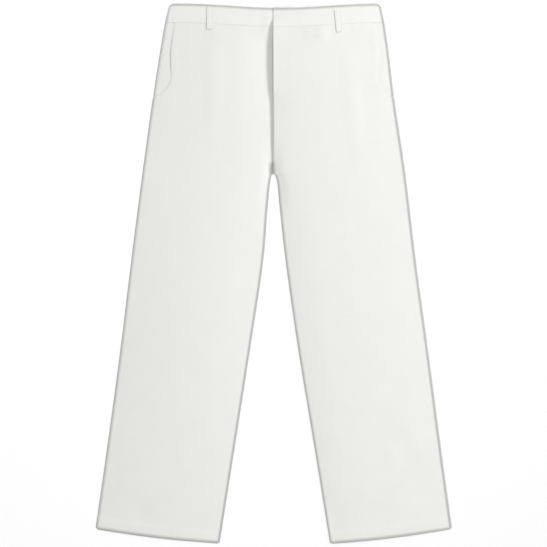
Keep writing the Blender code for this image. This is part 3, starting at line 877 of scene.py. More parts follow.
@dataclass
class BackLeg(Leg):
    """Back of one leg, flat on the surface, with a rounded edge that meets the front at the seams."""

    folds: tuple[Fold, ...]
    wall: float = 0.0007
    column_step: float = 0.0034
    row_step: float = 0.0048
    rim: float = 0.0009
    edge_round: float = 0.0022
    inset: float = 0.0003
    crotch_ease: float = 0.01
    fold_fade: float = 0.012
    centre_seam: float = 0.0007
    centre_seam_width: float = 0.0012
    stitch_sink: float = 0.00022
    stitch_width: float = 0.0022
    waist_rise: float = 0.0005
    hem_rise: float = 0.0006
    end_round: float = 0.0015

    def outer(self, height: np.ndarray) -> np.ndarray:
        """X of the side seam, just inside the front's edge."""
        return self.cut.side_seam(self.side, height) - self.side.outward * self.inset

    def inner(self, height: np.ndarray) -> np.ndarray:
        """X of the centre back seam, or of the inseam."""
        edge = self.cut.inner_edge(self.side, height, 0.0)
        below = smooth((self.cut.crotch - height) / self.crotch_ease)
        return edge + self.side.outward * self.inset * below

    def height(self, x: np.ndarray, y: np.ndarray) -> np.ndarray:
        """Height of the outer, lower face: 0 where it rests, more in its creases, seams and edges.

        Args:
            x: Places across the leg.
            y: Places along the leg, of the same shape.

        Returns:
            The height at each place.
        """
        to_outer = np.maximum(self.side.outward * (self.outer(y) - x), 0.0)
        to_inner = np.maximum(self.side.outward * (x - self.inner(y)), 0.0)
        from_outer = to_outer / np.maximum(to_outer + to_inner, TINY)
        over_hem = np.maximum(y - self.cut.hem(self.side, from_outer), 0.0)
        below = smooth((self.cut.crotch - y) / self.crotch_ease)
        edge = self.rim * rounding(to_outer, self.edge_round)
        inseam = self.rim * rounding(to_inner, self.edge_round)
        centre_seam = self.centre_seam * fading(to_inner, self.centre_seam_width)
        level = np.maximum(edge, mix(centre_seam, inseam, below))
        inside = smooth(to_outer / self.fold_fade) * smooth(to_inner / self.fold_fade)
        for fold in self.folds:
            level = level + inside * fold.height(x, y)
        line = self.stitch_sink * bell(self.cut.over_hem_stitches(over_hem), self.stitch_width)
        waist = self.waist_rise * fading(self.cut.waist_seam(x) - y, self.end_round)
        hem = self.hem_rise * rounding(over_hem, self.end_round)
        return level + line + waist + hem

    def build(self) -> bpy.types.Object:
        """Make the piece that stands for the back leg's node."""
        x, y, cloth, hem_rows = self.grid(self.column_step, self.row_step)
        return Sheet(
            f"back_{self.side.value}_leg", self.finish, "linen", surface(x, y, self.height(x, y)), cloth,
            np.zeros_like(x), wall=self.wall, hem_rows=hem_rows, faces_down=True, rests_on=("floor",),
        ).build()


@dataclass
class FrontBand:
    """Front half of the waistband, with its underlap or its lap over the fly.

    A pair of rows gives one's distance from the upper edge and the other's from the lower edge.
    """

    front: FrontLeg
    finish: bpy.types.Material
    wall: float = 0.0010
    step: float = 0.0022
    row_step: float = 0.0020
    rim: float = 0.0011
    edge_round: float = 0.0030
    top_share: float = 0.75
    proud: float = 0.00012
    underlap: float = 0.036
    underlap_ease: float = 0.004
    lap_drop: float = 0.0004
    foot_drop: float = 0.00014
    foot_round: float = 0.0009
    stitch_rows: tuple[float, float] = (0.0044, 0.0024)
    stitch_sink: float = 0.00012
    stitch_width: float = 0.0016
    ripple_height: float = 0.00008
    ripple_rate: float = 1.6
    ripple_phase: float = 1.0
    # Painted shade along the band's upper edge
    top_painted_shade: float = 0.8

    @property
    def side(self) -> Side:
        """The side of the trousers that the band is on."""
        return self.front.side

    @property
    def span(self) -> tuple[float, float]:
        """X of the band's two ends at its upper edge, lowest first."""
        outer = self.front.cut.waist_end(self.side)
        return (outer, self.underlap) if self.side is Side.RIGHT else (self.front.cut.lap_edge, outer)

    def bed(self, x: np.ndarray, y: np.ndarray) -> np.ndarray:
        """Height of the band's face before its edges are turned, on which its belt loop lies."""
        return self.front.lie(x, y) + sum(fold.height(x, y) for fold in self.front.folds) + self.proud

    def height(self, x: np.ndarray, y: np.ndarray) -> np.ndarray:
        """Height of the band's upper face.

        Args:
            x: Places along the band.
            y: Places across it, of the same shape.

        Returns:
            The height at each place.
        """
        cut = self.front.cut
        level = self.bed(x, y)
        to_side, _ = self.front.lie.distances(x, y)
        under_top = np.maximum(cut.waist_top(x) - y, 0.0)
        top_drop = self.top_share * rounding(under_top, self.edge_round)
        if self.side is Side.RIGHT:
            lapped = smooth((np.abs(x) - self.underlap) / self.underlap_ease)
            top_drop = np.where(x > cut.lap_edge, lapped, 1.0) * top_drop
        level = level - (level - self.rim) * np.maximum(rounding(to_side, self.edge_round), top_drop)
        if self.side is Side.LEFT:
            to_lap = np.maximum(x - cut.lap_edge, 0.0)
            level = level - self.lap_drop * rounding(to_lap, self.front.lap_round(y))
            turned = np.maximum(level - self.front.lap_edge_height(y) - self.lap_drop, 0.0)
            level = level - turned * rounding(to_lap, self.front.lap_turn)
        foot = np.maximum(cut.band_depth - under_top, 0.0)
        level = level - self.foot_drop * rounding(foot, self.foot_round)
        groove = bell(foot - self.stitch_rows[1], self.stitch_width)
        groove = groove + bell(under_top - self.stitch_rows[0], self.stitch_width)
        uneven = self.ripple_height * ripple(x * self.ripple_rate, y, self.ripple_phase)
        return level - self.stitch_sink * groove + uneven

    def build(self) -> bpy.types.Object:
        """Make the piece that stands for this half of the waistband."""
        cut = self.front.cut
        low, high = self.span
        along = mix(low, high, graded(high - low, self.step, EDGE_STEPS))
        depth = graded(cut.band_depth, self.row_step, ROW_STEPS) * cut.band_depth
        place, drop = np.meshgrid(along, depth)
        x, y = lean(cut, place, drop, self.side is Side.RIGHT, self.side is Side.LEFT)
        # Painted shade along the band's upper edge and its side end
        top = self.top_painted_shade * edge_shade(drop, self.front.shade_width, self.front.shade_fade)
        to_side, _ = self.front.lie.distances(x, y)
        return Sheet(
            f"waistband_{self.side.value}", self.finish, "linen_band", surface(x, y, self.height(x, y)),
            np.stack((y, x), axis=2), np.maximum(top, self.front.painted_edge_shade(to_side, self.side is Side.RIGHT)),
            wall=self.wall, rests_on=("waistband_back_cloth",),
        ).build()


def lean(
    cut: Cut, along: np.ndarray, drop: np.ndarray, at_low: bool, at_high: bool
) -> tuple[np.ndarray, np.ndarray]:
    """Places in a waistband strip whose outer ends lean along the side seams and have rounded corners.

    Args:
        cut: The outline of the trousers.
        along: X of each place at the band's upper edge.
        drop: How far each place lies below the upper edge.
        at_low: Whether the strip's -X end is a side seam.
        at_high: Whether its +X end is one.

    Returns:
        X and Y of each place.
    """
    level = cut.waist_top(along) - drop
    x = along
    corner = np.zeros_like(along)
    for used, side in ((at_low, Side.RIGHT), (at_high, Side.LEFT)):
        if used:
            end = cut.waist_end(side)
            distance = np.abs(along - end)
            share = smooth(1.0 - distance / cut.band_lean_reach)
            x = x + (cut.side_seam(side, level) - end) * share
            corner = corner + cut.corner_cut(distance, cut.waist_corner)
    return x, cut.waist_top(x) - drop - corner * (1.0 - drop / cut.band_depth)


@dataclass
class BackBand:
    """Back of the waistband, flat on the surface but where it passes over its belt loops.

    A pair of rows gives one's distance from the upper edge and the other's from the lower edge.
    """

    cut: Cut
    finish: bpy.types.Material
    loops_at: tuple[float, ...]
    wall: float = 0.0010
    step: float = 0.0026
    row_step: float = 0.0024
    arch: float = 0.0013
    arch_slope: float = 0.013
    loop_width: float = 0.013
    rim: float = 0.0009
    edge_round: float = 0.0022
    foot_rise: float = 0.0004
    foot_round: float = 0.0012
    grooves: tuple[float, float] = (0.0034, 0.0024)
    groove_width: float = 0.0016
    groove_depth: float = 0.00014
    stitch_rows: tuple[float, float] = (0.0044, 0.0024)
    below_front: float = 0.0002

    def height(self, along: np.ndarray, drop: np.ndarray) -> np.ndarray:
        """Height of the band's outer, lower face.

        Args:
            along: X of each place at the band's upper edge.
            drop: How far each place lies below that edge.

        Returns:
            The height at each place.
        """
        level = np.zeros_like(along)
        for loop in self.loops_at:
            aside = np.abs(along - loop) - 0.5 * self.loop_width
            level = np.maximum(level, self.arch * fading(aside, self.arch_slope))
        to_end = np.minimum(along - self.cut.waist_end(Side.RIGHT), self.cut.waist_end(Side.LEFT) - along)
        edge = np.maximum(np.minimum(to_end, drop), 0.0)
        foot = np.maximum(self.cut.band_depth - drop, 0.0)
        groove = bell(foot - self.grooves[1], self.groove_width)
        groove = groove + bell(drop - self.grooves[0], self.groove_width)
        level = level + self.rim * rounding(edge, self.edge_round) + self.groove_depth * groove
        return level + self.foot_rise * rounding(foot, self.foot_round)

    def build(self) -> bpy.types.Object:
        """Make the piece that stands for the back waistband."""
        low = self.cut.waist_end(Side.RIGHT) + self.cut.seam_gap
        high = self.cut.waist_end(Side.LEFT) - self.cut.seam_gap
        along = mix(low, high, graded(high - low, self.step, EDGE_STEPS))
        depth = graded(self.cut.band_depth, self.row_step, ROW_STEPS[:5]) * self.cut.band_depth
        place, drop = np.meshgrid(along, depth)
        x, y = lean(self.cut, place, drop, True, True)
        return Sheet(
            "waistband_back", self.finish, "linen_band",
            surface(x, y - self.below_front, self.height(place, drop)), np.stack((y, x), axis=2),
            np.zeros_like(x), wall=self.wall, faces_down=True, rests_on=("floor",),
        ).build()


@dataclass
class BeltLoop:
    """A narrow strip of doubled cloth, tacked at both ends, that stands off what it lies on."""

    node: str
    finish: bpy.types.Material
    head: tuple[float, float]
    length: float
    under: Callable[[np.ndarray, np.ndarray], np.ndarray] | None = None
    lean_angle: float = 0.0
    faces_down: bool = False
    width: float = 0.013
    columns: int = 12
    row_step: float = 0.0016
    row_steps: tuple[float, ...] = (0.0, 0.0003, 0.0008)
    wall: float = 0.0006
    arch: float = 0.0001
    arch_ease: float = 0.24
    edge_round: float = 0.0009
    front_edge_drop: float = 0.0003
    back_edge_rise: float = 0.0002
    rib_place: float = 0.0047
    rib_width: float = 0.0010
    rib_depth: float = 0.00018
    tacks_at: tuple[float, float] = (0.065, 0.935)
    tack_spread: float = 0.05
    front_tack_depth: float = 0.0002
    back_tack_depth: float = 0.0001
    # Painted shade along the loop's long edges and its foot, deeper on the edge turned to the light
    lit_painted_shade: float = 0.62
    lee_painted_shade: float = 0.10
    tone_width: float = 0.0010
    tone_fade: float = 0.0012
    foot_painted_shade: float = 0.4
    foot_tone_width: float = 0.0008

    def points(self, aside: np.ndarray, drop: np.ndarray) -> np.ndarray:
        """Places on the loop's outer face.

        Args:
            aside: Distances from the loop's middle line.
            drop: Distances down from its head.

        Returns:
            X, Y and Z of each place, on the last axis.
        """
        x = self.head[0] + aside * cos(self.lean_angle) + drop * sin(self.lean_angle)
        y = self.head[1] + aside * sin(self.lean_angle) - drop * cos(self.lean_angle)
        share = drop / self.length
        edge = rounding(0.5 * self.width - np.abs(aside), self.edge_round)
        ribs = self.rib_depth * bell(np.abs(aside) - self.rib_place, self.rib_width)
        tack = sum(bell(share - at, self.tack_spread) for at in self.tacks_at)
        if self.faces_down:
            return surface(x, y, self.back_edge_rise * edge + ribs + self.back_tack_depth * tack)
        arch = self.arch * smooth(share / self.arch_ease) * smooth((1.0 - share) / self.arch_ease)
        level = self.under(x, y) + self.wall + arch
        return surface(x, y, level - self.front_edge_drop * edge - ribs - self.front_tack_depth * tack)

    def build(self) -> bpy.types.Object:
        """Make the piece that stands for the loop's node."""
        across = np.linspace(-0.5, 0.5, self.columns + 1) * self.width
        run = graded(self.length, self.row_step, self.row_steps) * self.length
        aside, drop = np.meshgrid(across, run)
        # Painted shade at the loop's long edges and foot
        strength = np.where(aside > 0.0, self.lit_painted_shade, self.lee_painted_shade)
        long_edges = strength * edge_shade(0.5 * self.width - np.abs(aside), self.tone_width, self.tone_fade)
        foot = self.foot_painted_shade * edge_shade(self.length - drop, self.foot_tone_width, self.tone_fade)
        return Sheet(
            self.node, self.finish, "linen_band", self.points(aside, drop), np.stack((aside, -drop), axis=2),
            np.maximum(long_edges, foot), wall=self.wall, faces_down=self.faces_down,
        ).build()


@dataclass
class PocketFacing:
    """Hip piece behind a pocket mouth, from the side seam to under the front."""

    front: FrontLeg
    finish: bpy.types.Material
    underlap: float = 0.010
    head: float = 0.49
    head_rise: float = 0.001
    head_tuck: float = 0.0006
    foot: float = 0.338
    foot_inset: float = 0.0020
    foot_lead: float = 0.008
    foot_ease: float = 0.006
    under_front: float = 0.00046
    at_side: float = 0.00025
    mouth_inset: float = 0.0005
    mouth_ease: float = 0.014
    width: float = 0.034
    column_step: float = 0.0018
    rows: int = 69

    def height(self, x: np.ndarray, y: np.ndarray) -> np.ndarray:
        """Height of the facing's upper face, just under the lie of the front.

        Args:
            x: Places across the facing.
            y: Places along it, of the same shape.

        Returns:
            The height at each place.
        """
        cut = self.front.cut
        to_side, _ = self.front.lie.distances(x, y)
        outside = smooth((cut.pocket_inset(y) - to_side - self.mouth_inset) / self.mouth_ease)
        outside = outside * smooth((y - cut.pocket_foot) / self.foot_ease)
        level = self.front.lie(x, y) - mix(self.under_front, self.at_side, outside)
        tucked = smooth((self.head_rise - cut.waist_seam(x) + y) / self.head_rise)
        level = level - self.head_tuck * tucked
        return level - (level - self.front.rim) * rounding(to_side, self.front.edge_round)

    def build(self) -> bpy.types.Object:
        """Make the piece that stands for the pocket facing's node."""
        cut = self.front.cut
        side = self.front.side
        top = float(cut.waist_seam(cut.side_seam(side, np.array(self.head)))) + self.head_rise
        from_outer = side.in_x_order(graded(self.width, self.column_step, EDGE_STEPS))
        share, down = np.meshgrid(from_outer, np.linspace(0.0, 1.0, self.rows + 1))
        y = mix(top, self.foot, down)
        inset = self.foot_inset * smooth((cut.pocket_foot + self.foot_lead - y) / self.foot_ease)
        reach = cut.pocket_inset(y) + self.underlap - inset
        x = cut.side_seam(side, y) - side.outward * (inset + share * reach)
        return Sheet(
            f"pocket_facing_{side.value}", self.finish, "linen", surface(x, y, self.height(x, y)),
            # Painted shade along the facing's edge at the side seam
            np.stack((x, y), axis=2), self.front.painted_edge_shade(share * reach, side is Side.RIGHT),
            rests_on=(f"back_{side.value}_leg_cloth",),
        ).build()


@dataclass
class FlyShield:
    """Cloth behind the fly, under both fronts, in a darker copy of the linen: painted shade for the hollow
    under the lap.
    """

    cut: Cut
    finish: bpy.types.Material
    start: float = -0.010
    end: float = 0.034
    taper: float = 0.010
    foot: float = 0.316
    level: float = 0.0017
    columns: int = 24
    rows: int = 69

    def build(self) -> bpy.types.Object:
        """Make the piece that stands for the fly shield's node."""
        across, along = np.linspace(0.0, 1.0, self.columns + 1), np.linspace(0.0, 1.0, self.rows + 1)
        share, down = np.meshgrid(across, along)
        x = mix(self.start, self.end - self.taper * smooth(down * 2.0 - 1.0), share)
        y = mix(self.cut.waist_seam(x), self.foot, down)
        return Sheet(
            "fly_shield", self.finish, "linen", surface(x, y, np.full_like(x, self.level)),
            np.stack((x, y), axis=2), np.zeros_like(x),
        ).build()


@dataclass
class Stitching:
    """Machine stitches in the same tone as the cloth, one short raised thread after another."""

    finish: bpy.types.Material
    pitch: float = 0.0030
    half_length: float = 0.00115
    half_width: float = 0.00026
    half_height: float = 0.00018
    lift: float = 0.00002
    aim_step: float = 0.001
    hem_ends: tuple[float, float] = (0.02, 0.98)
    hem_points: int = 120
    mouth_rows: tuple[float, float] = (0.0020, 0.0080)
    mouth_ends: tuple[float, float] = (0.482, 0.352)
    mouth_points: int = 90
    side_margin: float = 0.006
    fly_rows: tuple[float, float] = (0.034, 0.029)
    fly_ends: tuple[float, float] = (0.484, 0.352)
    fly_points: int = 60
    fly_bend_points: int = 30
    fly_bend_drop: float = 0.012
    fly_bend_stop: float = 0.004
    band_margin: float = 0.004
    lap_margin: float = 0.001
    band_points: int = 110
    back_band_points: int = 200
    tack_reach: float = 0.42
    tack_shift: float = 0.0004
    tack_points: int = 12
    loop_ends: tuple[float, float] = (0.09, 0.91)
    loop_points: int = 30
    lines: dict[str, list[np.ndarray]] = field(default_factory=dict)

    def add(self, name: str, line: np.ndarray, faces_down: bool = False) -> None:
        """Add a line of stitches to a piece.

        Args:
            name: The piece's name.
            line: Points along the line, on the surface.
            faces_down: Whether the sewn face looks down.
        """
        lift = -self.lift if faces_down else self.lift
        self.lines.setdefault(name, []).append(line + np.array((0.0, 0.0, lift)))

    def places(self, line: np.ndarray) -> list[Matrix]:
        """Where each stitch of a line lies.

        Args:
            line: Points along the line, just off the surface.

        Returns:
            A placing matrix for each stitch.
        """
        run = np.concatenate(([0.0], np.cumsum(np.linalg.norm(np.diff(line, axis=0), axis=1))))
        count = max(int(run[-1] / self.pitch), 1)
        shape = Matrix.Diagonal((self.half_length, self.half_width, self.half_height, 1.0))

        def spot(stop: float) -> Vector:
            """Point at a distance along the line."""
            return Vector([float(np.interp(stop, run, line[:, axis])) for axis in range(3)])

        placed = []
        for stop in (np.arange(count) + 0.5) * run[-1] / count:
            aim = spot(stop + self.aim_step) - spot(stop - self.aim_step)
            turn = aim.to_track_quat("X", "Z").to_matrix().to_4x4()
            placed.append(Matrix.Translation(spot(stop)) @ turn @ shape)
        return placed

    def build(self) -> None:
        """Make one piece of stitches for each name."""
        for name, lines in self.lines.items():
            sewn = bmesh.new()
            for line in lines:
                row = bmesh.new()
                for place in self.places(line):
                    bmesh.ops.create_uvsphere(row, u_segments=6, v_segments=4, radius=1.0, matrix=place)
                part = bpy.data.meshes.new("row")
                row.to_mesh(part)
                row.free()
                sewn.from_mesh(part)
                bpy.data.meshes.remove(part)
            piece = new_object(name, new_mesh(name, sewn, self.finish))
            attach(piece, BODY)
            log.info("%s: %d lines of stitches", name, len(lines))

    def sew_front(self, front: FrontLeg) -> None:
        """Sew the hem, the pocket mouth and, on the left, the fly of one front."""
        cut = front.cut
        name = f"stitches_front_{front.side.value}_leg"
        x, y = cut.hem_stitches(front.side, np.linspace(*self.hem_ends, self.hem_points))
        self.add(name, surface(x, y, front.height(x, y)))
        for inset in self.mouth_rows:
            y = np.linspace(*self.mouth_ends, self.mouth_points)
            x = front.outer(y) - front.side.outward * inset
            keep = np.abs(x - cut.side_seam(front.side, y)) > self.side_margin
            x, y = x[keep], y[keep]
            self.add(name, surface(x, y, front.height(x, y)))
        if front.side is Side.LEFT:
            turn = np.linspace(0.0, 0.5 * pi, self.fly_bend_points)[1:]
            down = np.linspace(*self.fly_ends, self.fly_points)
            for reach in self.fly_rows:
                bend_x = cut.lap_edge + self.fly_bend_stop + (reach - self.fly_bend_stop) * np.cos(turn)
                bend_y = self.fly_ends[1] - (reach + self.fly_bend_drop) * np.sin(turn)
                x = np.concatenate((np.full_like(down, cut.lap_edge + reach), bend_x))
                y = np.concatenate((down, bend_y))
                self.add(name, surface(x, y, front.height(x, y)))

    def sew_band(self, band: FrontBand) -> None:
        """Sew both long edges of one front half of the waistband."""
        cut = band.front.cut
        low, high = band.span
        on_right = band.side is Side.RIGHT
        high = min(high, cut.lap_edge - self.lap_margin) if on_right else high - self.band_margin
        place = np.linspace(low + self.band_margin, high, self.band_points)
        for drop in (band.stitch_rows[0], cut.band_depth - band.stitch_rows[1]):
            x, y = lean(cut, place, np.full_like(place, drop), on_right, not on_right)
            self.add(f"stitches_waistband_{band.side.value}", surface(x, y, band.height(x, y)))

    def sew_back(self, back: BackLeg) -> None:
        """Sew the hem of one back."""
        x, y = back.cut.hem_stitches(back.side, np.linspace(*self.hem_ends, self.hem_points))
        self.add(f"stitches_back_{back.side.value}_leg", surface(x, y, back.height(x, y)), faces_down=True)

    def sew_back_band(self, band: BackBand) -> None:
        """Sew both long edges of the back waistband."""
        low, high = band.cut.waist_end(Side.RIGHT), band.cut.waist_end(Side.LEFT)
        place = np.linspace(low + self.band_margin, high - self.band_margin, self.back_band_points)
        for drop in (band.stitch_rows[0], band.cut.band_depth - band.stitch_rows[1]):
            depth = np.full_like(place, drop)
            x, y = lean(band.cut, place, depth, True, True)
            line = surface(x, y - band.below_front, band.height(place, depth))
            self.add("stitches_waistband_back", line, faces_down=True)

    def tack_loop(self, loop: BeltLoop) -> None:
        """Bar tacks at both ends of a belt loop, and a row along both of its edges."""
        name = f"stitches_{loop.node}"
        aside = np.linspace(-self.tack_reach, self.tack_reach, self.tack_points) * loop.width
        for share in loop.tacks_at:
            for shift in (-self.tack_shift, self.tack_shift):
                line = loop.points(aside, np.full_like(aside, share * loop.length + shift))
                self.add(name, line, loop.faces_down)
        drop = np.linspace(*self.loop_ends, self.loop_points) * loop.length
        for edge in (-loop.rib_place, loop.rib_place):
            self.add(name, loop.points(np.full_like(drop, edge), drop), loop.faces_down)


@dataclass(frozen=True)
class Lamp:
    """Square soft light at a place, aimed at a point."""

    name: str
    place: tuple[float, float, float]
    aim: tuple[float, float, float]
    size: float
    power: float

    def build(self) -> bpy.types.Object:
        """Make the light."""
        light = bpy.data.lights.new(self.name, "AREA")
        light.size = self.size
        light.energy = self.power
        lamp = new_object(self.name, light)
        lamp.location = self.place
        away = Vector(self.aim) - Vector(self.place)
        lamp.rotation_euler = away.to_track_quat("-Z", "Y").to_euler()
        return lamp


@dataclass
class Studio:
    """Plain pale floor, soft lights and the camera that looks straight down."""

    frame_pixels: int = 547
    pixel_size: float = 0.0019716
    lens: float = 85.0
    sensor: float = 36.0
    centre: tuple[float, float] = (-0.0005, 0.0005)
    cloth_level: float = 0.003
    floor_size: float = 30.0
    floor_drop: float = 0.0001
    floor_colour: tuple[float, float, float] = (0.93, 0.93, 0.93)
    floor_roughness: float = 0.95
    floor_gloss: float = 0.1
    key: Lamp = Lamp("key", (6.5, 1.9, 2.75), (0.0, 0.0, 0.0), 1.8, 580.0)
    overhead: Lamp = Lamp("overhead", (0.0, 0.28, 2.4), (0.0, 0.05, 0.0), 2.6, 28.5)
    floor_light: Lamp = Lamp("floor light", (0.0, 0.0, 4.0), (0.0, 0.0, 0.0), 9.0, 160.0)
    sky: float = 0.37

    def build(self) -> None:
        """Set up the floor, the lights, the world and the camera."""
        floor = self.floor()
        garment = bpy.data.collections.new("lit garment")
        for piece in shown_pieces():
            garment.objects.link(piece)
        ground = bpy.data.collections.new("lit floor")
        ground.objects.link(floor)
        self.key.build().light_linking.receiver_collection = garment
        self.overhead.build()
        self.floor_light.build().light_linking.receiver_collection = ground
        world = bpy.data.worlds.new("studio")
        bpy.context.scene.world = world
        world.use_nodes = True
        background = world.node_tree.nodes["Background"]
        background.inputs["Color"].default_value = (1.0, 1.0, 1.0, 1.0)
        background.inputs["Strength"].default_value = self.sky
        bpy.context.scene.view_settings.view_transform = "Standard"
        self.camera()

    def floor(self) -> bpy.types.Object:
        """Make the floor, just below the cloth."""
        grid = bmesh.new()
        bmesh.ops.create_grid(grid, x_segments=1, y_segments=1, size=0.5 * self.floor_size)
        bmesh.ops.translate(grid, verts=grid.verts[:], vec=(0.0, 0.0, -self.floor_drop))
        material, _, shader = new_material("floor", self.floor_roughness)
        shader.inputs["Base Color"].default_value = (*self.floor_colour, 1.0)
        shader.inputs["Specular IOR Level"].default_value = self.floor_gloss
        floor = new_object("floor", new_mesh("floor", grid, material))
        floor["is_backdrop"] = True
        return floor

    def camera(self) -> None:
        """Make the camera, square over the trousers, with the photograph's frame."""
        data = bpy.data.cameras.new("camera")
        data.lens = self.lens
        data.sensor_width = self.sensor
        camera = new_object("camera", data)
        frame_width = self.frame_pixels * self.pixel_size
        rise = frame_width * self.lens / self.sensor + self.cloth_level
        camera.location = (*self.centre, rise)
        bpy.context.scene.camera = camera


@dataclass(frozen=True)
class LoopPlace:
    """Where a belt loop hangs: X of its head, how far that is below the waist's edge, and its lean."""

    head_x: float
    head_drop: float
    lean_angle: float = 0.0


def right_lie(cut: Cut) -> Lie:
    """Lie of the right front, which sinks towards the fly."""
    return Lie(
        Side.RIGHT, cut, centre=-0.004,
        outer_height=Curve(((0.530, 0.0023), (0.470, 0.0026), (0.200, 0.0023), (-0.530, 0.0022))),
        inner_height=Curve((
            (0.525, 0.0050), (0.505, 0.0048), (0.497, 0.0041), (0.490, 0.0033), (0.481, 0.0029),
            (0.474, 0.0027), (0.461, 0.0025), (0.420, 0.0024), (0.391, 0.0024), (0.361, 0.0025),
            (0.345, 0.0026), (0.322, 0.0026), (0.260, 0.0026), (0.235, 0.0026), (0.209, 0.0024),
            (0.150, 0.0019), (-0.530, 0.0019),
        )),
        peak_height=Curve((
            (0.530, 0.0046), (0.510, 0.0054), (0.487, 0.0064), (0.421, 0.0072), (0.323, 0.0066),
            (0.214, 0.0056), (0.145, 0.0061), (0.047, 0.0063), (-0.150, 0.0062), (-0.347, 0.0051),
            (-0.485, 0.0040), (-0.530, 0.0034),
        )),
        peak_place=Curve((
            (0.530, 0.84), (0.500, 0.78), (0.460, 0.66), (0.323, 0.62), (0.214, 0.57), (0.047, 0.54),
            (-0.530, 0.50),
        )),
    )


def left_lie(cut: Cut) -> Lie:
    """Lie of the left front, which stands high along the fly and the inseam."""
    return Lie(
        Side.LEFT, cut, centre=cut.lap_edge,
        outer_height=Curve(((0.530, 0.0024), (0.200, 0.0018), (-0.530, 0.0018))),
        inner_height=Curve((
            (0.525, 0.0062), (0.510, 0.0063), (0.500, 0.0069), (0.493, 0.0082), (0.487, 0.0090),
            (0.481, 0.0093), (0.474, 0.0095), (0.461, 0.0096), (0.420, 0.0096), (0.391, 0.0090),
            (0.361, 0.0080), (0.345, 0.0069), (0.322, 0.0064), (0.260, 0.0058), (0.235, 0.0052),
            (0.209, 0.0045), (0.150, 0.0037), (-0.150, 0.0035), (-0.530, 0.0036),
        )),
        peak_height=Curve((
            (0.530, 0.0064), (0.510, 0.0072), (0.487, 0.0084), (0.421, 0.0092), (0.323, 0.0082),
            (0.214, 0.0070), (0.145, 0.0066), (0.047, 0.0062), (-0.150, 0.0060), (-0.347, 0.0053),
            (-0.485, 0.0046), (-0.530, 0.0042),
        )),
        peak_place=Curve((
            (0.530, 0.74), (0.421, 0.78), (0.323, 0.74), (0.047, 0.73), (-0.150, 0.72), (-0.400, 0.80),
        )),
    )


# How far each pocket mouth stands open, by height
RIGHT_GAPE = Curve((
    (0.487, 0.0), (0.455, 0.0003), (0.435, 0.0005), (0.415, 0.0005), (0.396, 0.0001), (0.366, 0.0),
))
LEFT_GAPE = Curve(((0.487, 0.0), (0.440, 0.0001), (0.405, 0.0001), (0.366, 0.0)))

# Soft creases: the two ends of each, its half width and its rise
RIGHT_FRONT_FOLDS = (
    Fold((-0.1150, 0.500), (-0.1220, 0.240), 0.030, 0.0005),
    Fold((-0.060, 0.165), (-0.050, -0.080), 0.032, -0.0002),
    Fold((-0.300, -0.425), (-0.235, -0.505), 0.030, -0.0003),
    Fold((-0.0040, 0.5180), (-0.0120, 0.4550), 0.027, 0.0013),
)
LEFT_FRONT_FOLDS = (
    Fold((0.1454, 0.475), (0.168, 0.190), 0.024, 0.0005),
    Fold((0.200, -0.248), (0.318, -0.470), 0.034, -0.0004),
    Fold((0.130, -0.440), (0.118, -0.545), 0.030, -0.0004),
    Fold((0.0930, 0.4920), (0.0960, 0.4560), 0.021, 0.0007),
    Fold((0.0690, 0.4890), (0.0690, 0.4660), 0.014, 0.0003),
)
RIGHT_BACK_FOLDS = (
    Fold((-0.150, 0.430), (-0.060, 0.250), 0.030, 0.0009),
    Fold((-0.230, 0.160), (-0.215, -0.150), 0.030, 0.0007),
    Fold((-0.120, 0.040), (-0.170, -0.300), 0.026, 0.0006),
    Fold((-0.260, -0.220), (-0.290, -0.460), 0.028, 0.0007),
)
LEFT_BACK_FOLDS = (
    Fold((0.170, 0.450), (0.050, 0.260), 0.026, 0.0008),
    Fold((0.215, 0.120), (0.245, -0.190), 0.032, 0.0007),
    Fold((0.110, 0.020), (0.150, -0.240), 0.024, 0.0006),
    Fold((0.230, -0.280), (0.200, -0.480), 0.030, 0.0007),
)

# Belt loops
FRONT_LOOP_LENGTH = 0.044
FRONT_LOOPS = {
    "belt_loop_front_right": LoopPlace(-0.1264, 0.006),
    "belt_loop_front_left": LoopPlace(0.1250, 0.010, radians(5.5)),
}
BACK_LOOP_LENGTH = 0.034
BACK_LOOPS = {
    "belt_loop_back_right": LoopPlace(-0.128, 0.002),
    "belt_loop_back_centre": LoopPlace(0.0, 0.002),
    "belt_loop_back_left": LoopPlace(0.128, 0.002),
}


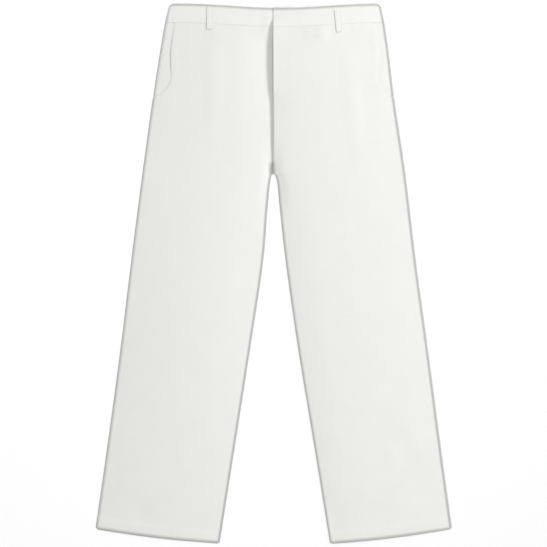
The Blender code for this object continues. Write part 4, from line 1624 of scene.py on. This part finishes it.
def belt_loops(cut: Cut, bands: dict[Side, FrontBand], finish: bpy.types.Material) -> list[BeltLoop]:
    """Lay out the belt loops, front ones first.

    Args:
        cut: The outline of the trousers.
        bands: The front halves of the waistband, on which the front loops lie.
        finish: The loops' material.

    Returns:
        The loops, not yet built.
    """
    loops = []
    for node, spot in (FRONT_LOOPS | BACK_LOOPS).items():
        head = (spot.head_x, float(cut.waist_top(np.array(spot.head_x))) - spot.head_drop)
        if node in FRONT_LOOPS:
            band = bands[Side.RIGHT if spot.head_x < 0.0 else Side.LEFT]
            loops.append(BeltLoop(node, finish, head, FRONT_LOOP_LENGTH, band.bed, spot.lean_angle))
        else:
            loops.append(BeltLoop(node, finish, head, BACK_LOOP_LENGTH, faces_down=True))
    return loops


def main() -> None:
    """Build the trousers, their stitching and the studio, and report each piece."""
    logging.basicConfig(level=logging.INFO, format="%(name)s: %(message)s")
    cut = Cut()
    linen = Linen("linen").material()
    doubled = Linen("linen band", colour=(0.81, 0.81, 0.78), shade=(0.715, 0.715, 0.685)).material()
    # Darker copy of the linen for the fly shield: painted shade for the hollow under the fly's lap
    shade = Linen("linen painted shade", colour=(0.76, 0.76, 0.73), shade=(0.68, 0.68, 0.65)).material()
    fronts = {
        Side.RIGHT: FrontLeg(Side.RIGHT, cut, linen, right_lie(cut), RIGHT_FRONT_FOLDS, RIGHT_GAPE),
        Side.LEFT: FrontLeg(Side.LEFT, cut, linen, left_lie(cut), LEFT_FRONT_FOLDS, LEFT_GAPE),
    }
    bands = {side: FrontBand(front, doubled) for side, front in fronts.items()}
    stitching = Stitching(Thread().material())
    for side, front in fronts.items():
        back = BackLeg(side, cut, linen, RIGHT_BACK_FOLDS if side is Side.RIGHT else LEFT_BACK_FOLDS)
        back.build()
        front.build()
        bands[side].build()
        PocketFacing(front, linen).build()
        stitching.sew_back(back)
        stitching.sew_front(front)
        stitching.sew_band(bands[side])
    back_band = BackBand(cut, doubled, tuple(spot.head_x for spot in BACK_LOOPS.values()))
    back_band.build()
    stitching.sew_back_band(back_band)
    FlyShield(cut, shade).build()
    for loop in belt_loops(cut, bands, doubled):
        loop.build()
        stitching.tack_loop(loop)
    stitching.build()
    Studio().build()


if __name__ == "__main__":
    main()
